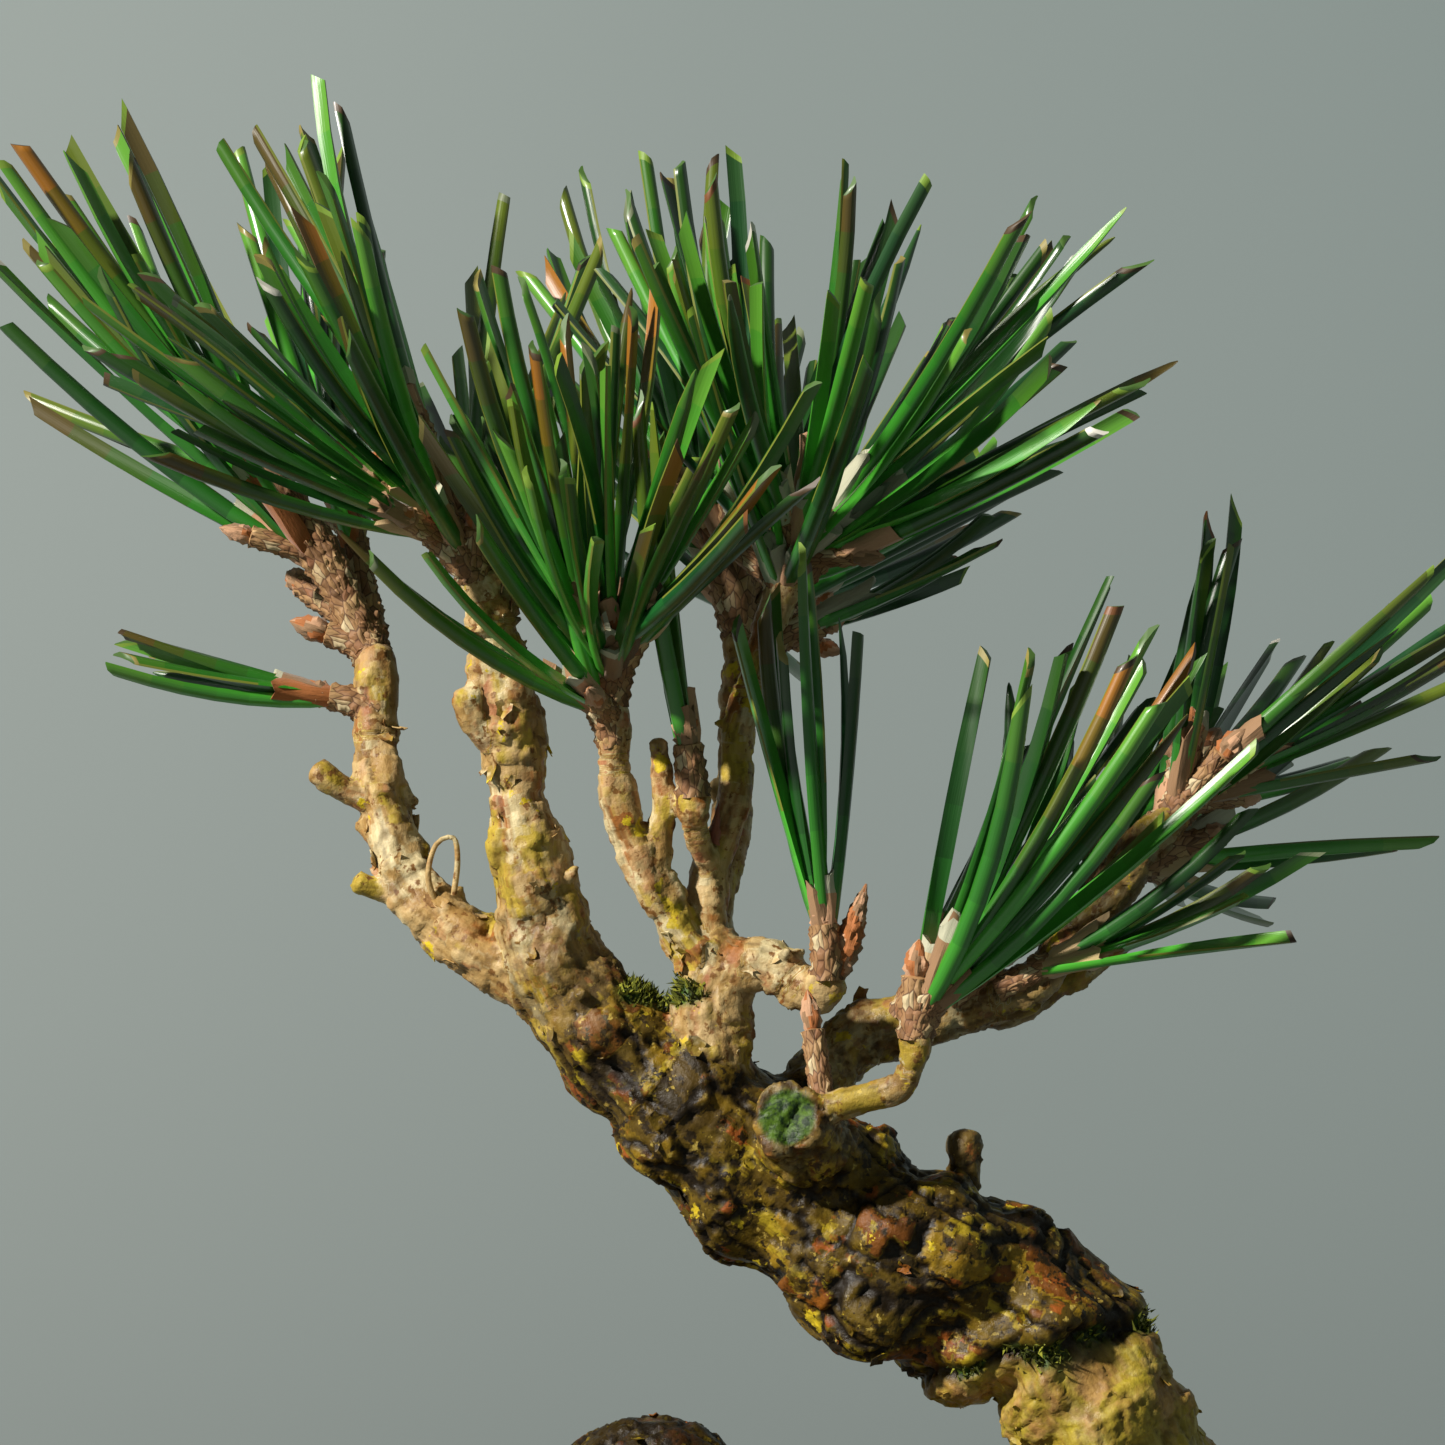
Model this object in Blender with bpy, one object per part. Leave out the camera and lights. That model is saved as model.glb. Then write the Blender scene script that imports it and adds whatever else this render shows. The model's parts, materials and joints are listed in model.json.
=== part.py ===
"""Japanese black pine bonsai, about 17 cm tall, in a plain unglazed pot.

Every size is in millimetres until it goes into a mesh. X runs to the right of the
front view, Y to the back and Z up. The origin is the middle of the pot's flat
underside. The trunk rises from the soil to a healed knob, leaves it sideways,
turns back on itself and climbs to the left to its fork. The boughs carry nine
masses of needles. A fascicle is a pair of needles.
"""
import math

import bmesh
import bpy
import numpy as np

MM = 0.001
# Air left between two pieces that touch on the real plant.
GAP = 0.3

# The pot over its lip, the radius of its corners in plan and its two drain holes.
POT_LENGTH = 84.0
POT_DEPTH = 66.0
POT_HEIGHT = 34.5
POT_CORNER = 13.0
POT_CORNER_STEPS = 5
POT_FLOOR = 4.0
DRAIN_RADIUS = 4.0
DRAIN_SIDES = 20
DRAIN_SPACING = 36.0
# Pot wall from the underside round the lip to the inner floor: (inset, height).
POT_PROFILE = [
    (8.0, 0.0), (7.0, 1.0), (3.4, 28.0), (0.0, 29.2), (0.0, 33.6),
    (0.9, POT_HEIGHT), (5.4, POT_HEIGHT), (6.2, 33.6), (10.6, POT_FLOOR),
]
# The soil ends below the lip, and the trunk is cut flat just above the soil. Away from
# the trunk its top dips between mounds, by a depth and at about a spacing. It is worked
# out on a grid of cells, from a few waves, and is level up to a distance from the trunk.
SOIL_TOP = 31.7
SOIL_DIP = 1.5
MOUND_SPACING = 7.8
MOUND_STRETCH = (0.9, 1.5)
SOIL_CELLS = (20, 15)
SOIL_WAVES = 5
SOIL_SEED = 6
LEVEL_TO = 13.5
FULL_DIP_FROM = 17.5
TRUNK_CUT = SOIL_TOP + GAP

# Root flare: its height above the cut, its widening and the depth of its buttresses.
FLARE_HEIGHT = 7.0
FLARE_WIDENING = 0.12
BUTTRESS_DEPTH = 0.13
BUTTRESSES = 5

# Swellings of a limb: waves along it, of a length within the range, and the most
# waves round it.
LUMP_WAVES = 5
LUMP_LENGTH = (5.0, 13.0)
LUMP_LOBES = 3

# Knobs of old bark on the trunk: their height and width, and how far the limb's own
# surface lies below its radius, so that limb and knobs together keep it. A limb thinner
# than the full radius has lower knobs.
KNOB_HEIGHT = (0.3, 1.1)
KNOB_WIDTH = (2.0, 4.2)
KNOB_SINK = 0.5
KNOB_FULL_RADIUS = 6.0

# Dead stubs that are fused to a limb.
STUB_SIDES = 7
STUB_STEP = 2.6
STUB_LUMP = 0.05

# Each limb is a smooth curve through (x, y, z, radius). The first point of a bough
# lies inside the limb that carries it, its parent, and the bough is cut clear of it.
# step is the length of one row of faces, lump the depth of the swellings and knobs the
# number of knobs.
LIMBS = {
    "trunk_foot": dict(
        sides=20, step=2.4, lump=0.05, seed=3, knobs=60,
        points=[(-3.0, 0.0, TRUNK_CUT, 12.0), (-3.0, 0.0, 35.0, 10.9),
                (-3.2, 0.0, 41.0, 9.9), (-3.2, 0.0, 50.0, 9.2),
                (-2.8, 0.0, 58.5, 8.6), (-2.4, 0.0, 63.2, 7.4),
                (-2.3, 0.0, 66.2, 4.6), (-2.3, 0.0, 67.4, 1.6)]),
    "trunk_bend": dict(
        sides=20, step=2.4, lump=0.05, seed=5, knobs=70, parent="trunk_foot",
        points=[(-3.0, 0.0, 53.4, 8.0), (6.0, 0.3, 53.4, 8.0), (15.0, 0.8, 49.6, 7.6),
                (24.0, 1.0, 46.0, 7.3), (31.6, 0.8, 45.8, 7.0), (36.8, 0.5, 49.0, 6.8),
                (38.4, 0.3, 53.8, 6.6)]),
    "trunk_top": dict(
        sides=18, step=2.2, lump=0.05, seed=7, knobs=90, parent="trunk_bend",
        points=[(38.2, 0.3, 52.2, 6.3), (37.7, 0.1, 57.0, 6.3), (35.6, 0.0, 61.4, 6.0),
                (32.8, 0.0, 65.6, 5.7), (30.4, 0.0, 69.6, 5.5), (27.6, 0.0, 73.6, 6.3),
                (22.2, 0.0, 76.5, 7.0),
                (17.2, 0.0, 78.7, 7.0), (12.9, 0.0, 81.5, 6.2), (8.4, 0.0, 84.9, 6.0),
                (3.8, 0.0, 88.4, 5.7), (0.2, 0.0, 91.2, 5.4)],
        stubs=[[(21.0, -0.5, 82.0, 1.5), (21.2, -0.6, 85.6, 1.1), (21.5, -0.6, 88.4, 1.2)]]),
    "bough_left": dict(
        sides=12, step=2.8, lump=0.06, seed=11, parent="trunk_top",
        points=[(1.4, 0.0, 90.2, 4.7), (-4.4, -0.5, 94.9, 4.6), (-8.3, -1.0, 100.0, 3.8),
                (-10.1, -1.2, 105.0, 3.2), (-11.2, -1.4, 109.6, 2.9),
                (-12.0, -1.6, 113.8, 2.4), (-12.5, -1.8, 118.0, 2.3),
                (-13.1, -2.0, 122.4, 2.4), (-14.2, -2.4, 127.6, 1.9)],
        stubs=[[(-13.0, -2.2, 117.6, 1.3), (-15.2, -3.0, 119.6, 1.1), (-15.9, -3.4, 121.6, 1.1)]]),
    "bough_outer": dict(
        sides=10, step=2.8, lump=0.07, seed=13, parent="bough_left",
        points=[(-9.4, -0.6, 99.6, 2.5), (-14.6, 1.0, 102.2, 2.4), (-17.9, 2.2, 104.5, 2.2),
                (-20.6, 3.6, 107.9, 2.1), (-22.2, 5.0, 112.2, 1.95), (-22.9, 6.3, 116.0, 1.8),
                (-23.1, 7.1, 119.0, 1.6)],
        stubs=[[(-22.2, 5.2, 113.0, 1.2), (-25.4, 4.9, 114.4, 1.0), (-27.6, 4.6, 116.0, 1.1)],
               [(-20.4, 3.4, 106.6, 1.1), (-22.8, 2.8, 106.9, 0.95), (-24.4, 2.4, 107.6, 1.0)]]),
    "bough_fork": dict(
        sides=12, step=2.6, lump=0.06, seed=17, parent="trunk_top",
        points=[(3.2, -0.6, 90.2, 3.6), (2.4, -1.6, 95.2, 3.1), (2.6, -1.9, 99.0, 2.7),
                (3.6, -1.9, 101.8, 2.3)],
        clear_of=["bough_left"]),
    "bough_inner_left": dict(
        sides=8, step=2.6, lump=0.08, seed=19, parent="bough_fork",
        points=[(2.8, -1.9, 100.0, 1.8), (0.5, -2.2, 103.2, 1.65), (-1.7, -2.4, 106.8, 1.55),
                (-3.8, -2.8, 111.4, 1.45), (-4.8, -3.1, 114.6, 1.3), (-4.9, -3.3, 117.0, 1.2)],
        stubs=[[(-2.0, -2.5, 107.4, 1.0), (-1.2, -3.0, 112.6, 1.05), (-1.6, -3.2, 118.2, 0.8)]]),
    "bough_inner_right": dict(
        sides=8, step=2.6, lump=0.08, seed=23, parent="bough_fork",
        points=[(3.2, -1.6, 100.4, 1.7), (2.1, -0.8, 104.6, 1.5), (2.5, -0.3, 109.0, 1.4),
                (4.3, 0.2, 114.4, 1.25), (4.2, 0.7, 118.2, 1.2), (5.4, 1.2, 122.6, 1.1)],
        clear_of=["bough_inner_left"]),
    "bough_low": dict(
        sides=8, step=2.0, lump=0.08, seed=27, parent="bough_inner_right",
        points=[(2.5, -0.4, 108.4, 1.0), (1.6, -2.4, 110.0, 0.95), (1.2, -3.6, 112.0, 0.9)]),
    "bough_short": dict(
        sides=8, step=2.4, lump=0.08, seed=29, parent="bough_fork",
        points=[(3.4, -2.0, 101.0, 1.9), (6.6, -2.6, 101.4, 1.85), (9.2, -3.6, 99.8, 1.5)],
        clear_of=["bough_inner_right"]),
    "bough_back": dict(
        sides=8, step=2.8, lump=0.07, seed=31, parent="bough_fork",
        points=[(2.6, -0.8, 97.4, 1.8), (2.6, 4.2, 100.0, 1.7), (2.8, 8.8, 105.4, 1.5),
                (3.8, 12.8, 111.4, 1.4), (4.4, 16.6, 120.2, 1.2)],
        clear_of=["trunk_top", "bough_left"]),
    "bough_right": dict(
        sides=10, step=2.8, lump=0.08, seed=37, parent="trunk_top",
        points=[(8.0, 1.6, 86.6, 3.0), (10.4, 4.6, 92.2, 2.8), (14.0, 6.2, 95.6, 2.4),
                (19.4, 6.0, 97.4, 2.0), (25.0, 4.9, 98.8, 1.7)],
        stubs=[[(20.8, 6.0, 97.2, 1.3), (26.6, 8.8, 98.2, 1.15), (34.6, 10.6, 102.8, 0.8)]]),
    "front_stub": dict(
        sides=12, step=2.4, lump=0.04, seed=41, parent="trunk_top",
        points=[(10.0, -1.0, 86.4, 3.2), (8.9, -6.6, 89.2, 2.9), (7.9, -10.8, 90.7, 2.7)]),
    "front_twig": dict(
        sides=8, step=2.4, lump=0.08, seed=43, parent="front_stub",
        points=[(8.6, -8.6, 90.4, 1.2), (12.8, -10.6, 91.8, 1.1), (16.0, -11.8, 92.8, 1.05),
                (16.8, -12.4, 94.4, 1.0)]),
}

# Needle sizes. A fascicle's two needles face each other with their flat sides, a
# little apart, and open by an angle in degrees. The tip's width is a share of the
# foot's.
NEEDLE_WIDTH = 1.35
NEEDLE_DEPTH = 0.8
NEEDLE_TIP = 0.82
NEEDLE_LENGTH = (25.0, 31.0)
PAIR_OFFSET = 0.15
PAIR_OPENING = (1.5, 7.0)

# Fascicles stand on the last stretch of a shoot, by the golden angle round it, and
# lean out from its axis by the fan's two angles, the first at the tip.
NEEDLE_ZONE = 7.5
BARE_FOOT = 3.2
FAN = (5.0, 30.0)
FAN_SPREAD = 0.12
GOLDEN_ANGLE = 137.508

# Stems and shoots: radius at the foot and at the tip, and how far a shoot leaves
# along its stem before it bends to its own direction.
TWIG_RADIUS = (1.45, 1.05)
TWIG_SIDES = 5
STEM_SIDES = 6
STEM_STEP = 2.2
STEM_FOOT = 0.8
STEM_TAPER = 0.8
SHOOT_STEP = 5.0
SHOOT_BEND = 0.45
SHOOT_FOLLOW = 0.5
SHOOT_SPREAD = 3.0

# A needle keeps these clearances to limbs and twigs, to the needles of other masses
# and, over its outer part, to the needles of its own mass. It is tried again at an
# angle that strays further each time. Limbs count as wider by their swellings.
CLEAR_OF_LIMB = 0.4
CLEAR_OF_NEEDLE = 0.35
OWN_CLEARANCE = -0.3
OUTER_PART = 0.4
REACH = 48.0
TRIES = 14
STRAY = (6.0, 5.0)
LIMB_STEP = 2.5
LIMB_SWELLING = 3.0

# Gaps in the crown that show sky from the front, each (x, z, x, z, radius): a stretch
# between two points at the trunk's depth, and how far round it stays open. No needle
# crosses one of them as seen from the eye, which is at arm's length in front.
SKY = [
    (-36.4, 161.4, -33.1, 152.0, 1.1),
    (-22.1, 164.8, -18.6, 152.0, 2.1),
    (-17.1, 166.6, -15.8, 156.5, 1.5),
    (8.7, 166.2, 8.7, 151.2, 0.7),
    (21.6, 159.1, 18.8, 151.2, 1.1),
    (37.1, 152.0, 31.5, 146.4, 1.8),
    (37.5, 141.5, 31.1, 138.5, 1.6),
    (24.8, 129.9, 35.2, 137.8, 2.1),
    (21.0, 126.9, 27.4, 128.4, 1.6),
    (35.2, 137.8, 36.0, 128.8, 1.6),
    (45.9, 136.2, 43.6, 128.8, 2.1),
    (53.4, 134.0, 49.1, 127.6, 1.6),
    (54.0, 112.6, 43.9, 111.7, 0.8),
    (55.9, 106.6, 48.0, 107.4, 1.8),
    (54.0, 99.9, 48.8, 102.5, 1.9),
    (-49.9, 140.8, -42.8, 137.6, 0.9),
    (-49.9, 131.2, -36.8, 127.8, 1.1),
    (-46.5, 120.9, -28.5, 119.6, 1.3),
    (16.9, 125.8, 16.5, 110.0, 0.9),
    (-26.2, 128.8, -33.0, 127.6, 0.6),
]
EYE = (3.2, -450.0, 119.6)

# Each mass: the bough it grows on, its stem's later points and its shoots. A shoot
# is (place along the stem, turn, lean, length, fascicles): turn is its angle in the
# front view, from right through up, and lean its angle towards the back, in degrees.
# A sixth value scales the length of the shoot's needles.
MASSES = {
    "needles_front": dict(
        bough="bough_short", seed=11, fan=(4.0, 11.0), length=(23.0, 31.0),
        stem=[(10.5, -4.3, 99.2), (10.9, -4.8, 100.6)],
        shoots=[(1.0, 96, -4, 4.0, 7)]),
    "needles_right_front": dict(
        bough="front_twig", seed=24, fan=(3.0, 14.0), length=(25.0, 32.0),
        stem=[(17.2, -12.8, 96.6)],
        shoots=[(1.0, 48, -4, 5.0, 3), (1.0, 66, -10, 5.0, 3), (0.8, 88, -6, 4.5, 3)]),
    "needles_low": dict(
        bough="bough_low", seed=31, fan=(2.0, 8.0), length=(24.0, 28.0),
        stem=[(1.0, -4.0, 114.0)],
        shoots=[(1.0, 98, -6, 4.0, 3)]),
    "needles_centre": dict(
        bough="bough_inner_left", seed=46, fan=(6.0, 28.0), length=(22.0, 28.0),
        stem=[(-5.2, -3.9, 121.4)],
        shoots=[(0.3, 118, -24, 4.0, 3), (1.0, 112, -32, 7.0, 4), (1.0, 88, -38, 6.5, 4),
                (0.9, 58, -32, 6.0, 3), (1.0, 98, 12, 9.0, 5)]),
    "needles_left_front": dict(
        bough="bough_left", seed=51, fan=(5.0, 25.0), length=(26.0, 32.0),
        stem=[(-15.2, -2.9, 130.6)],
        shoots=[(0.8, 146, -12, 10.0, 7, 0.85), (1.0, 122, -28, 9.0, 7, 0.85),
                (1.0, 84, -26, 4.0, 5, 0.95), (1.0, 114, 12, 13.0, 8), (1.0, 84, 44, 6.0, 6)]),
    "needles_top": dict(
        bough="bough_inner_right", seed=64,
        stem=[(7.0, 1.7, 127.0), (8.4, 2.1, 131.0)],
        shoots=[(1.0, 84, -8, 5.0, 5), (1.0, 54, -18, 8.0, 6), (0.9, 36, -6, 8.0, 4),
                (0.9, 114, 6, 7.0, 5), (0.3, 16, 24, 5.0, 3, 0.65), (1.0, 102, -40, 5.0, 4),
                (1.0, 66, 44, 6.0, 5)]),
    "needles_right": dict(
        bough="bough_right", seed=72, fan=(4.0, 20.0), length=(18.0, 25.0),
        stem=[(29.0, 4.2, 102.6), (33.8, 3.3, 108.4), (37.4, 2.6, 112.8)],
        shoots=[(1.0, 102, 2, 4.0, 2), (1.0, 84, -2, 6.0, 3), (1.0, 56, -20, 6.0, 3),
                (1.0, 30, 2, 7.0, 5), (0.65, 14, 26, 7.0, 3), (0.9, 60, 46, 9.0, 4),
                (0.5, 66, 50, 8.0, 3)]),
    "needles_left_outer": dict(
        bough="bough_outer", seed=85, fan=(4.0, 22.0), length=(26.0, 33.0),
        stem=[(-23.6, 9.0, 124.6)],
        shoots=[(1.0, 120, 4, 20.0, 8), (1.0, 132, 2, 15.0, 7), (0.9, 162, 0, 4.0, 4, 0.92),
                (0.3, 166, -4, 4.0, 3, 0.55), (1.0, 106, 34, 16.0, 6),
                (0.9, 144, 46, 11.0, 6, 0.9)]),
    "needles_back": dict(
        bough="bough_back", seed=94,
        stem=[(4.6, 19.0, 126.0)],
        shoots=[(1.0, 96, 50, 9.0, 6), (0.9, 26, 34, 8.0, 4), (1.0, 112, 22, 15.0, 6),
                (1.0, 94, 8, 11.0, 4), (0.9, 60, 70, 8.0, 6)]),
}

COLOURS = {
    "pot": (0.16, 0.07, 0.045, 0.8), "soil": (0.09, 0.06, 0.04, 0.95),
    "trunk": (0.11, 0.06, 0.025, 0.85), "bough": (0.38, 0.24, 0.12, 0.8),
    "front": (0.30, 0.20, 0.10, 0.8), "needles": (0.025, 0.11, 0.02, 0.35),
}


def clear_scene():
    for old in list(bpy.data.objects):
        bpy.data.objects.remove(old, do_unlink=True)


def material_for(name):
    """A material of the piece's own, coloured by the kind that its name starts with."""
    kind = name.split("_")[0]
    red, green, blue, roughness = COLOURS[kind]
    material = bpy.data.materials.new(name)
    material.use_nodes = True
    shader = material.node_tree.nodes["Principled BSDF"]
    shader.inputs["Base Color"].default_value = (red, green, blue, 1.0)
    shader.inputs["Roughness"].default_value = roughness
    shader.inputs["Metallic"].default_value = 0.0
    return material


def mesh_object(name, vertices, faces):
    """An object from corners in millimetres and the faces between them."""
    mesh = bpy.data.meshes.new(name)
    corners = [tuple(float(value) * MM for value in corner) for corner in vertices]
    mesh.from_pydata(corners, [], [tuple(int(i) for i in face) for face in faces])
    piece = bpy.data.objects.new(name, mesh)
    bpy.context.scene.collection.objects.link(piece)
    return piece


def unit(vector):
    return vector / np.linalg.norm(vector)


def smooth_rows(points, step):
    """Rows read from a smooth curve through the points, about one for each step."""
    points = np.asarray(points, float)
    padded = np.vstack([2 * points[0] - points[1], points, 2 * points[-1] - points[-2]])
    rows = [points[0]]
    for i in range(len(points) - 1):
        before, start, end, after = padded[i:i + 4]
        count = max(1, round(np.linalg.norm((end - start)[:3]) / step))
        for k in range(1, count + 1):
            t = k / count
            rows.append(0.5 * (2 * start + (end - before) * t
                               + (2 * before - 5 * start + 4 * end - after) * t ** 2
                               + (3 * start - before - 3 * end + after) * t ** 3))
    return np.array(rows)


def frames_along(centres):
    """The direction of the curve at each row, and two directions square to it."""
    steps = np.diff(centres, axis=0)
    along = np.vstack([steps[:1], steps[:-1] + steps[1:], steps[-1:]])
    along = along / np.linalg.norm(along, axis=1)[:, None]
    side = unit(np.cross(along[0], (0.31, 0.95, 0.05)))
    sides = []
    for direction in along:
        side = unit(side - direction * (side @ direction))
        sides.append(side)
    sides = np.array(sides)
    return along, sides, np.cross(along, sides)


def lump_factor(seed, depth, run, angle):
    """Swellings of a limb, as a factor on its radius at a distance along and round it."""
    rng = np.random.default_rng(seed)
    total = 0.0
    for _ in range(LUMP_WAVES):
        length = rng.uniform(*LUMP_LENGTH)
        lobes = rng.integers(1, LUMP_LOBES + 1)
        phase = rng.uniform(0.0, 2 * math.pi, 2)
        wave = np.sin(2 * math.pi * run / length + phase[0])
        total = total + wave * np.cos(lobes * angle + phase[1])
    return 1.0 + depth * total


def flare_factor(height, angle):
    """Root flare: buttresses that widen the trunk just above the soil."""
    rise = np.clip((TRUNK_CUT + FLARE_HEIGHT - height) / FLARE_HEIGHT, 0.0, 1.0) ** 1.6
    return 1.0 + rise * (FLARE_WIDENING + BUTTRESS_DEPTH * np.cos(BUTTRESSES * angle + 0.6))


def knob_rise(seed, knobs, run, angle, radius):
    """How far the knobs of old bark stand out: round bumps at places along and round it."""
    rng = np.random.default_rng(seed + knobs)
    total = np.zeros(np.broadcast_shapes(run.shape, angle.shape)) - KNOB_SINK * (knobs > 0)
    for _ in range(knobs):
        place, turn = rng.uniform(0.0, run.max()), rng.uniform(0.0, 2 * math.pi)
        height, width = rng.uniform(*KNOB_HEIGHT), rng.uniform(*KNOB_WIDTH)
        aside = radius * ((angle - turn + math.pi) % (2 * math.pi) - math.pi)
        total += height * np.exp(-((run - place) ** 2 + aside ** 2) / width ** 2)
    return total * np.clip(radius / KNOB_FULL_RADIUS, 0.0, 1.0)


def tube(name, rows, sides, lump=0.0, seed=0, knobs=0, flared=False, grow=0.0):
    """A closed tube round the rows: one ring of corners for each row and flat ends."""
    centres = rows[:, :3].copy()
    along, across, up = frames_along(centres)
    centres[0] -= along[0] * grow
    centres[-1] += along[-1] * grow
    run = np.concatenate([[0.0], np.cumsum(np.linalg.norm(np.diff(centres, axis=0), axis=1))])
    angle = np.arange(sides) * 2 * math.pi / sides
    factor = lump_factor(seed, lump, run[:, None], angle[None, :])
    if flared:
        factor = factor * flare_factor(centres[:, 2:3], angle[None, :])
    radius = rows[:, 3:4] * factor + grow
    radius = radius + knob_rise(seed, knobs, run[:, None], angle[None, :], rows[:, 3:4])
    rings = (centres[:, None, :]
             + radius[:, :, None] * (np.cos(angle)[None, :, None] * across[:, None, :]
                                     + np.sin(angle)[None, :, None] * up[:, None, :]))
    faces = [tuple(reversed(range(sides)))]
    for ring in range(len(rows) - 1):
        low = ring * sides
        for k in range(sides):
            nxt = (k + 1) % sides
            faces.append((low + k, low + nxt, low + sides + nxt, low + sides + k))
    last = (len(rows) - 1) * sides
    faces.append(tuple(range(last, last + sides)))
    return mesh_object(name, rings.reshape(-1, 3), faces)


def combine(piece, tools, operation):
    """Apply one Boolean of the piece with a collection of tools, then remove them."""
    group = bpy.data.collections.new("tools")
    bpy.context.scene.collection.children.link(group)
    for tool in tools:
        bpy.context.scene.collection.objects.unlink(tool)
        group.objects.link(tool)
    modifier = piece.modifiers.new("combine", "BOOLEAN")
    modifier.operation = operation
    modifier.solver = "EXACT"
    modifier.operand_type = "COLLECTION"
    modifier.collection = group
    depsgraph = bpy.context.evaluated_depsgraph_get()
    result = bpy.data.meshes.new_from_object(piece.evaluated_get(depsgraph))
    piece.modifiers.clear()
    piece.data = result
    for tool in tools:
        bpy.data.objects.remove(tool, do_unlink=True)
    bpy.data.collections.remove(group)


def keep_outer_body(piece):
    """Keep the largest shell: sealed hollows are filled and loose scraps dropped."""
    work = bmesh.new()
    work.from_mesh(piece.data)
    bmesh.ops.triangulate(work, faces=work.faces[:])
    work.faces.ensure_lookup_table()
    seen = set()
    shells = []
    for face in work.faces:
        if face.index in seen:
            continue
        shell = [face]
        seen.add(face.index)
        for member in shell:
            for edge in member.edges:
                for other in edge.link_faces:
                    if other.index not in seen:
                        seen.add(other.index)
                        shell.append(other)
        shells.append(shell)
    shells.sort(key=shell_volume)
    for shell in shells[:-1]:
        bmesh.ops.delete(work, geom=shell, context="FACES")
    work.to_mesh(piece.data)
    work.free()


def shell_volume(shell):
    """Volume inside a shell of triangles, negative where it bounds a hollow."""
    return sum(face.verts[0].co.dot(face.verts[1].co.cross(face.verts[2].co)) for face in shell) / 6


def finish(piece, smooth_angle=50.0):
    """Give the piece its own material and shade its round stretches smooth."""
    piece.data.materials.clear()
    piece.data.materials.append(material_for(piece.name))
    piece.data.shade_smooth()
    piece.data.set_sharp_from_angle(angle=math.radians(smooth_angle))


def rounded_outline(inset):
    """The pot's outline in plan, a rectangle with round corners, drawn in by an inset."""
    half_x = POT_LENGTH / 2 - POT_CORNER
    half_y = POT_DEPTH / 2 - POT_CORNER
    radius = POT_CORNER - inset
    outline = []
    for turn, sx, sy in ((0, 1, 1), (90, -1, 1), (180, -1, -1), (270, 1, -1)):
        for k in range(POT_CORNER_STEPS + 1):
            angle = math.radians(turn + 90 * k / POT_CORNER_STEPS)
            outline.append((sx * half_x + radius * math.cos(angle),
                            sy * half_y + radius * math.sin(angle)))
    return outline


def rounded_block(name, profile):
    """A closed solid: the outline at each inset and height of the profile, ends filled."""
    vertices = []
    for inset, height in profile:
        vertices += [(x, y, height) for x, y in rounded_outline(inset)]
    count = len(rounded_outline(0.0))
    faces = [tuple(reversed(range(count)))]
    for ring in range(len(profile) - 1):
        low = ring * count
        for k in range(count):
            nxt = (k + 1) % count
            faces.append((low + k, low + nxt, low + count + nxt, low + count + k))
    last = (len(profile) - 1) * count
    faces.append(tuple(range(last, last + count)))
    return mesh_object(name, vertices, faces)


def build_pot():
    """A hollow pot with an outward lip and two drain holes through its floor."""
    pot = rounded_block("pot", POT_PROFILE)
    drains = []
    for x in (-DRAIN_SPACING / 2, DRAIN_SPACING / 2):
        rows = [(x, 0.0, height, DRAIN_RADIUS) for height in (-POT_FLOOR, 2 * POT_FLOOR)]
        drains.append(tube("drain", np.array(rows), DRAIN_SIDES))
    combine(pot, drains, "DIFFERENCE")
    keep_outer_body(pot)
    finish(pot, 30.0)


def soil_dip(x, y):
    """How far the soil's top dips at a place: waves between mounds, level round the trunk."""
    rng = np.random.default_rng(SOIL_SEED)
    total = 0.0
    for _ in range(SOIL_WAVES):
        heading, phase = rng.uniform(0.0, 2 * math.pi, 2)
        length = MOUND_SPACING * rng.uniform(*MOUND_STRETCH)
        total += math.cos(2 * math.pi * (x * math.cos(heading) + y * math.sin(heading)) / length + phase)
    from_trunk = math.hypot(x - LIMBS["trunk_foot"]["points"][0][0], y)
    rough = np.interp(from_trunk, (LEVEL_TO, FULL_DIP_FROM), (0.0, 1.0))
    return SOIL_DIP * rough * np.clip(0.5 - total / SOIL_WAVES, 0.0, 1.0)


def soil_surface():
    """A block under the soil's surface: a grid of its heights, four sides and a floor."""
    across, deep = SOIL_CELLS
    xs = np.linspace(-POT_LENGTH / 2, POT_LENGTH / 2, across + 1)
    ys = np.linspace(-POT_DEPTH / 2, POT_DEPTH / 2, deep + 1)
    vertices = [(x, y, SOIL_TOP - soil_dip(x, y)) for y in ys for x in xs]
    row, top = across + 1, len(vertices)
    vertices += [(xs[i], ys[j], 0.0) for i, j in ((0, 0), (-1, 0), (-1, -1), (0, -1))]
    faces = [(top, top + 3, top + 2, top + 1)]
    for j in range(deep):
        for low in range(j * row, j * row + across):
            faces += [(low, low + 1, low + row + 1), (low, low + row + 1, low + row)]
    front, back = range(row), range(deep * row, top)
    left, right = range(0, top, row), range(across, top, row)
    faces += [(top, top + 1, *reversed(front)), (top + 1, top + 2, *reversed(right)),
              (top + 2, top + 3, *back), (top + 3, top, *left)]
    return mesh_object("surface", vertices, faces)


def build_soil():
    """The soil fills the pot to below its lip, a gap clear of the wall and the floor."""
    (top_inset, top_height), (floor_inset, floor_height) = POT_PROFILE[-2:]
    slope = (floor_inset - top_inset) / (top_height - floor_height)
    profile = []
    for height in (POT_FLOOR + GAP, SOIL_TOP + GAP):
        wall_inset = top_inset + (top_height - height) * slope
        profile.append((wall_inset + 1.2 * GAP, height))
    soil = rounded_block("soil", profile)
    combine(soil, [soil_surface()], "INTERSECT")
    keep_outer_body(soil)
    finish(soil, 30.0)


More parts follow.
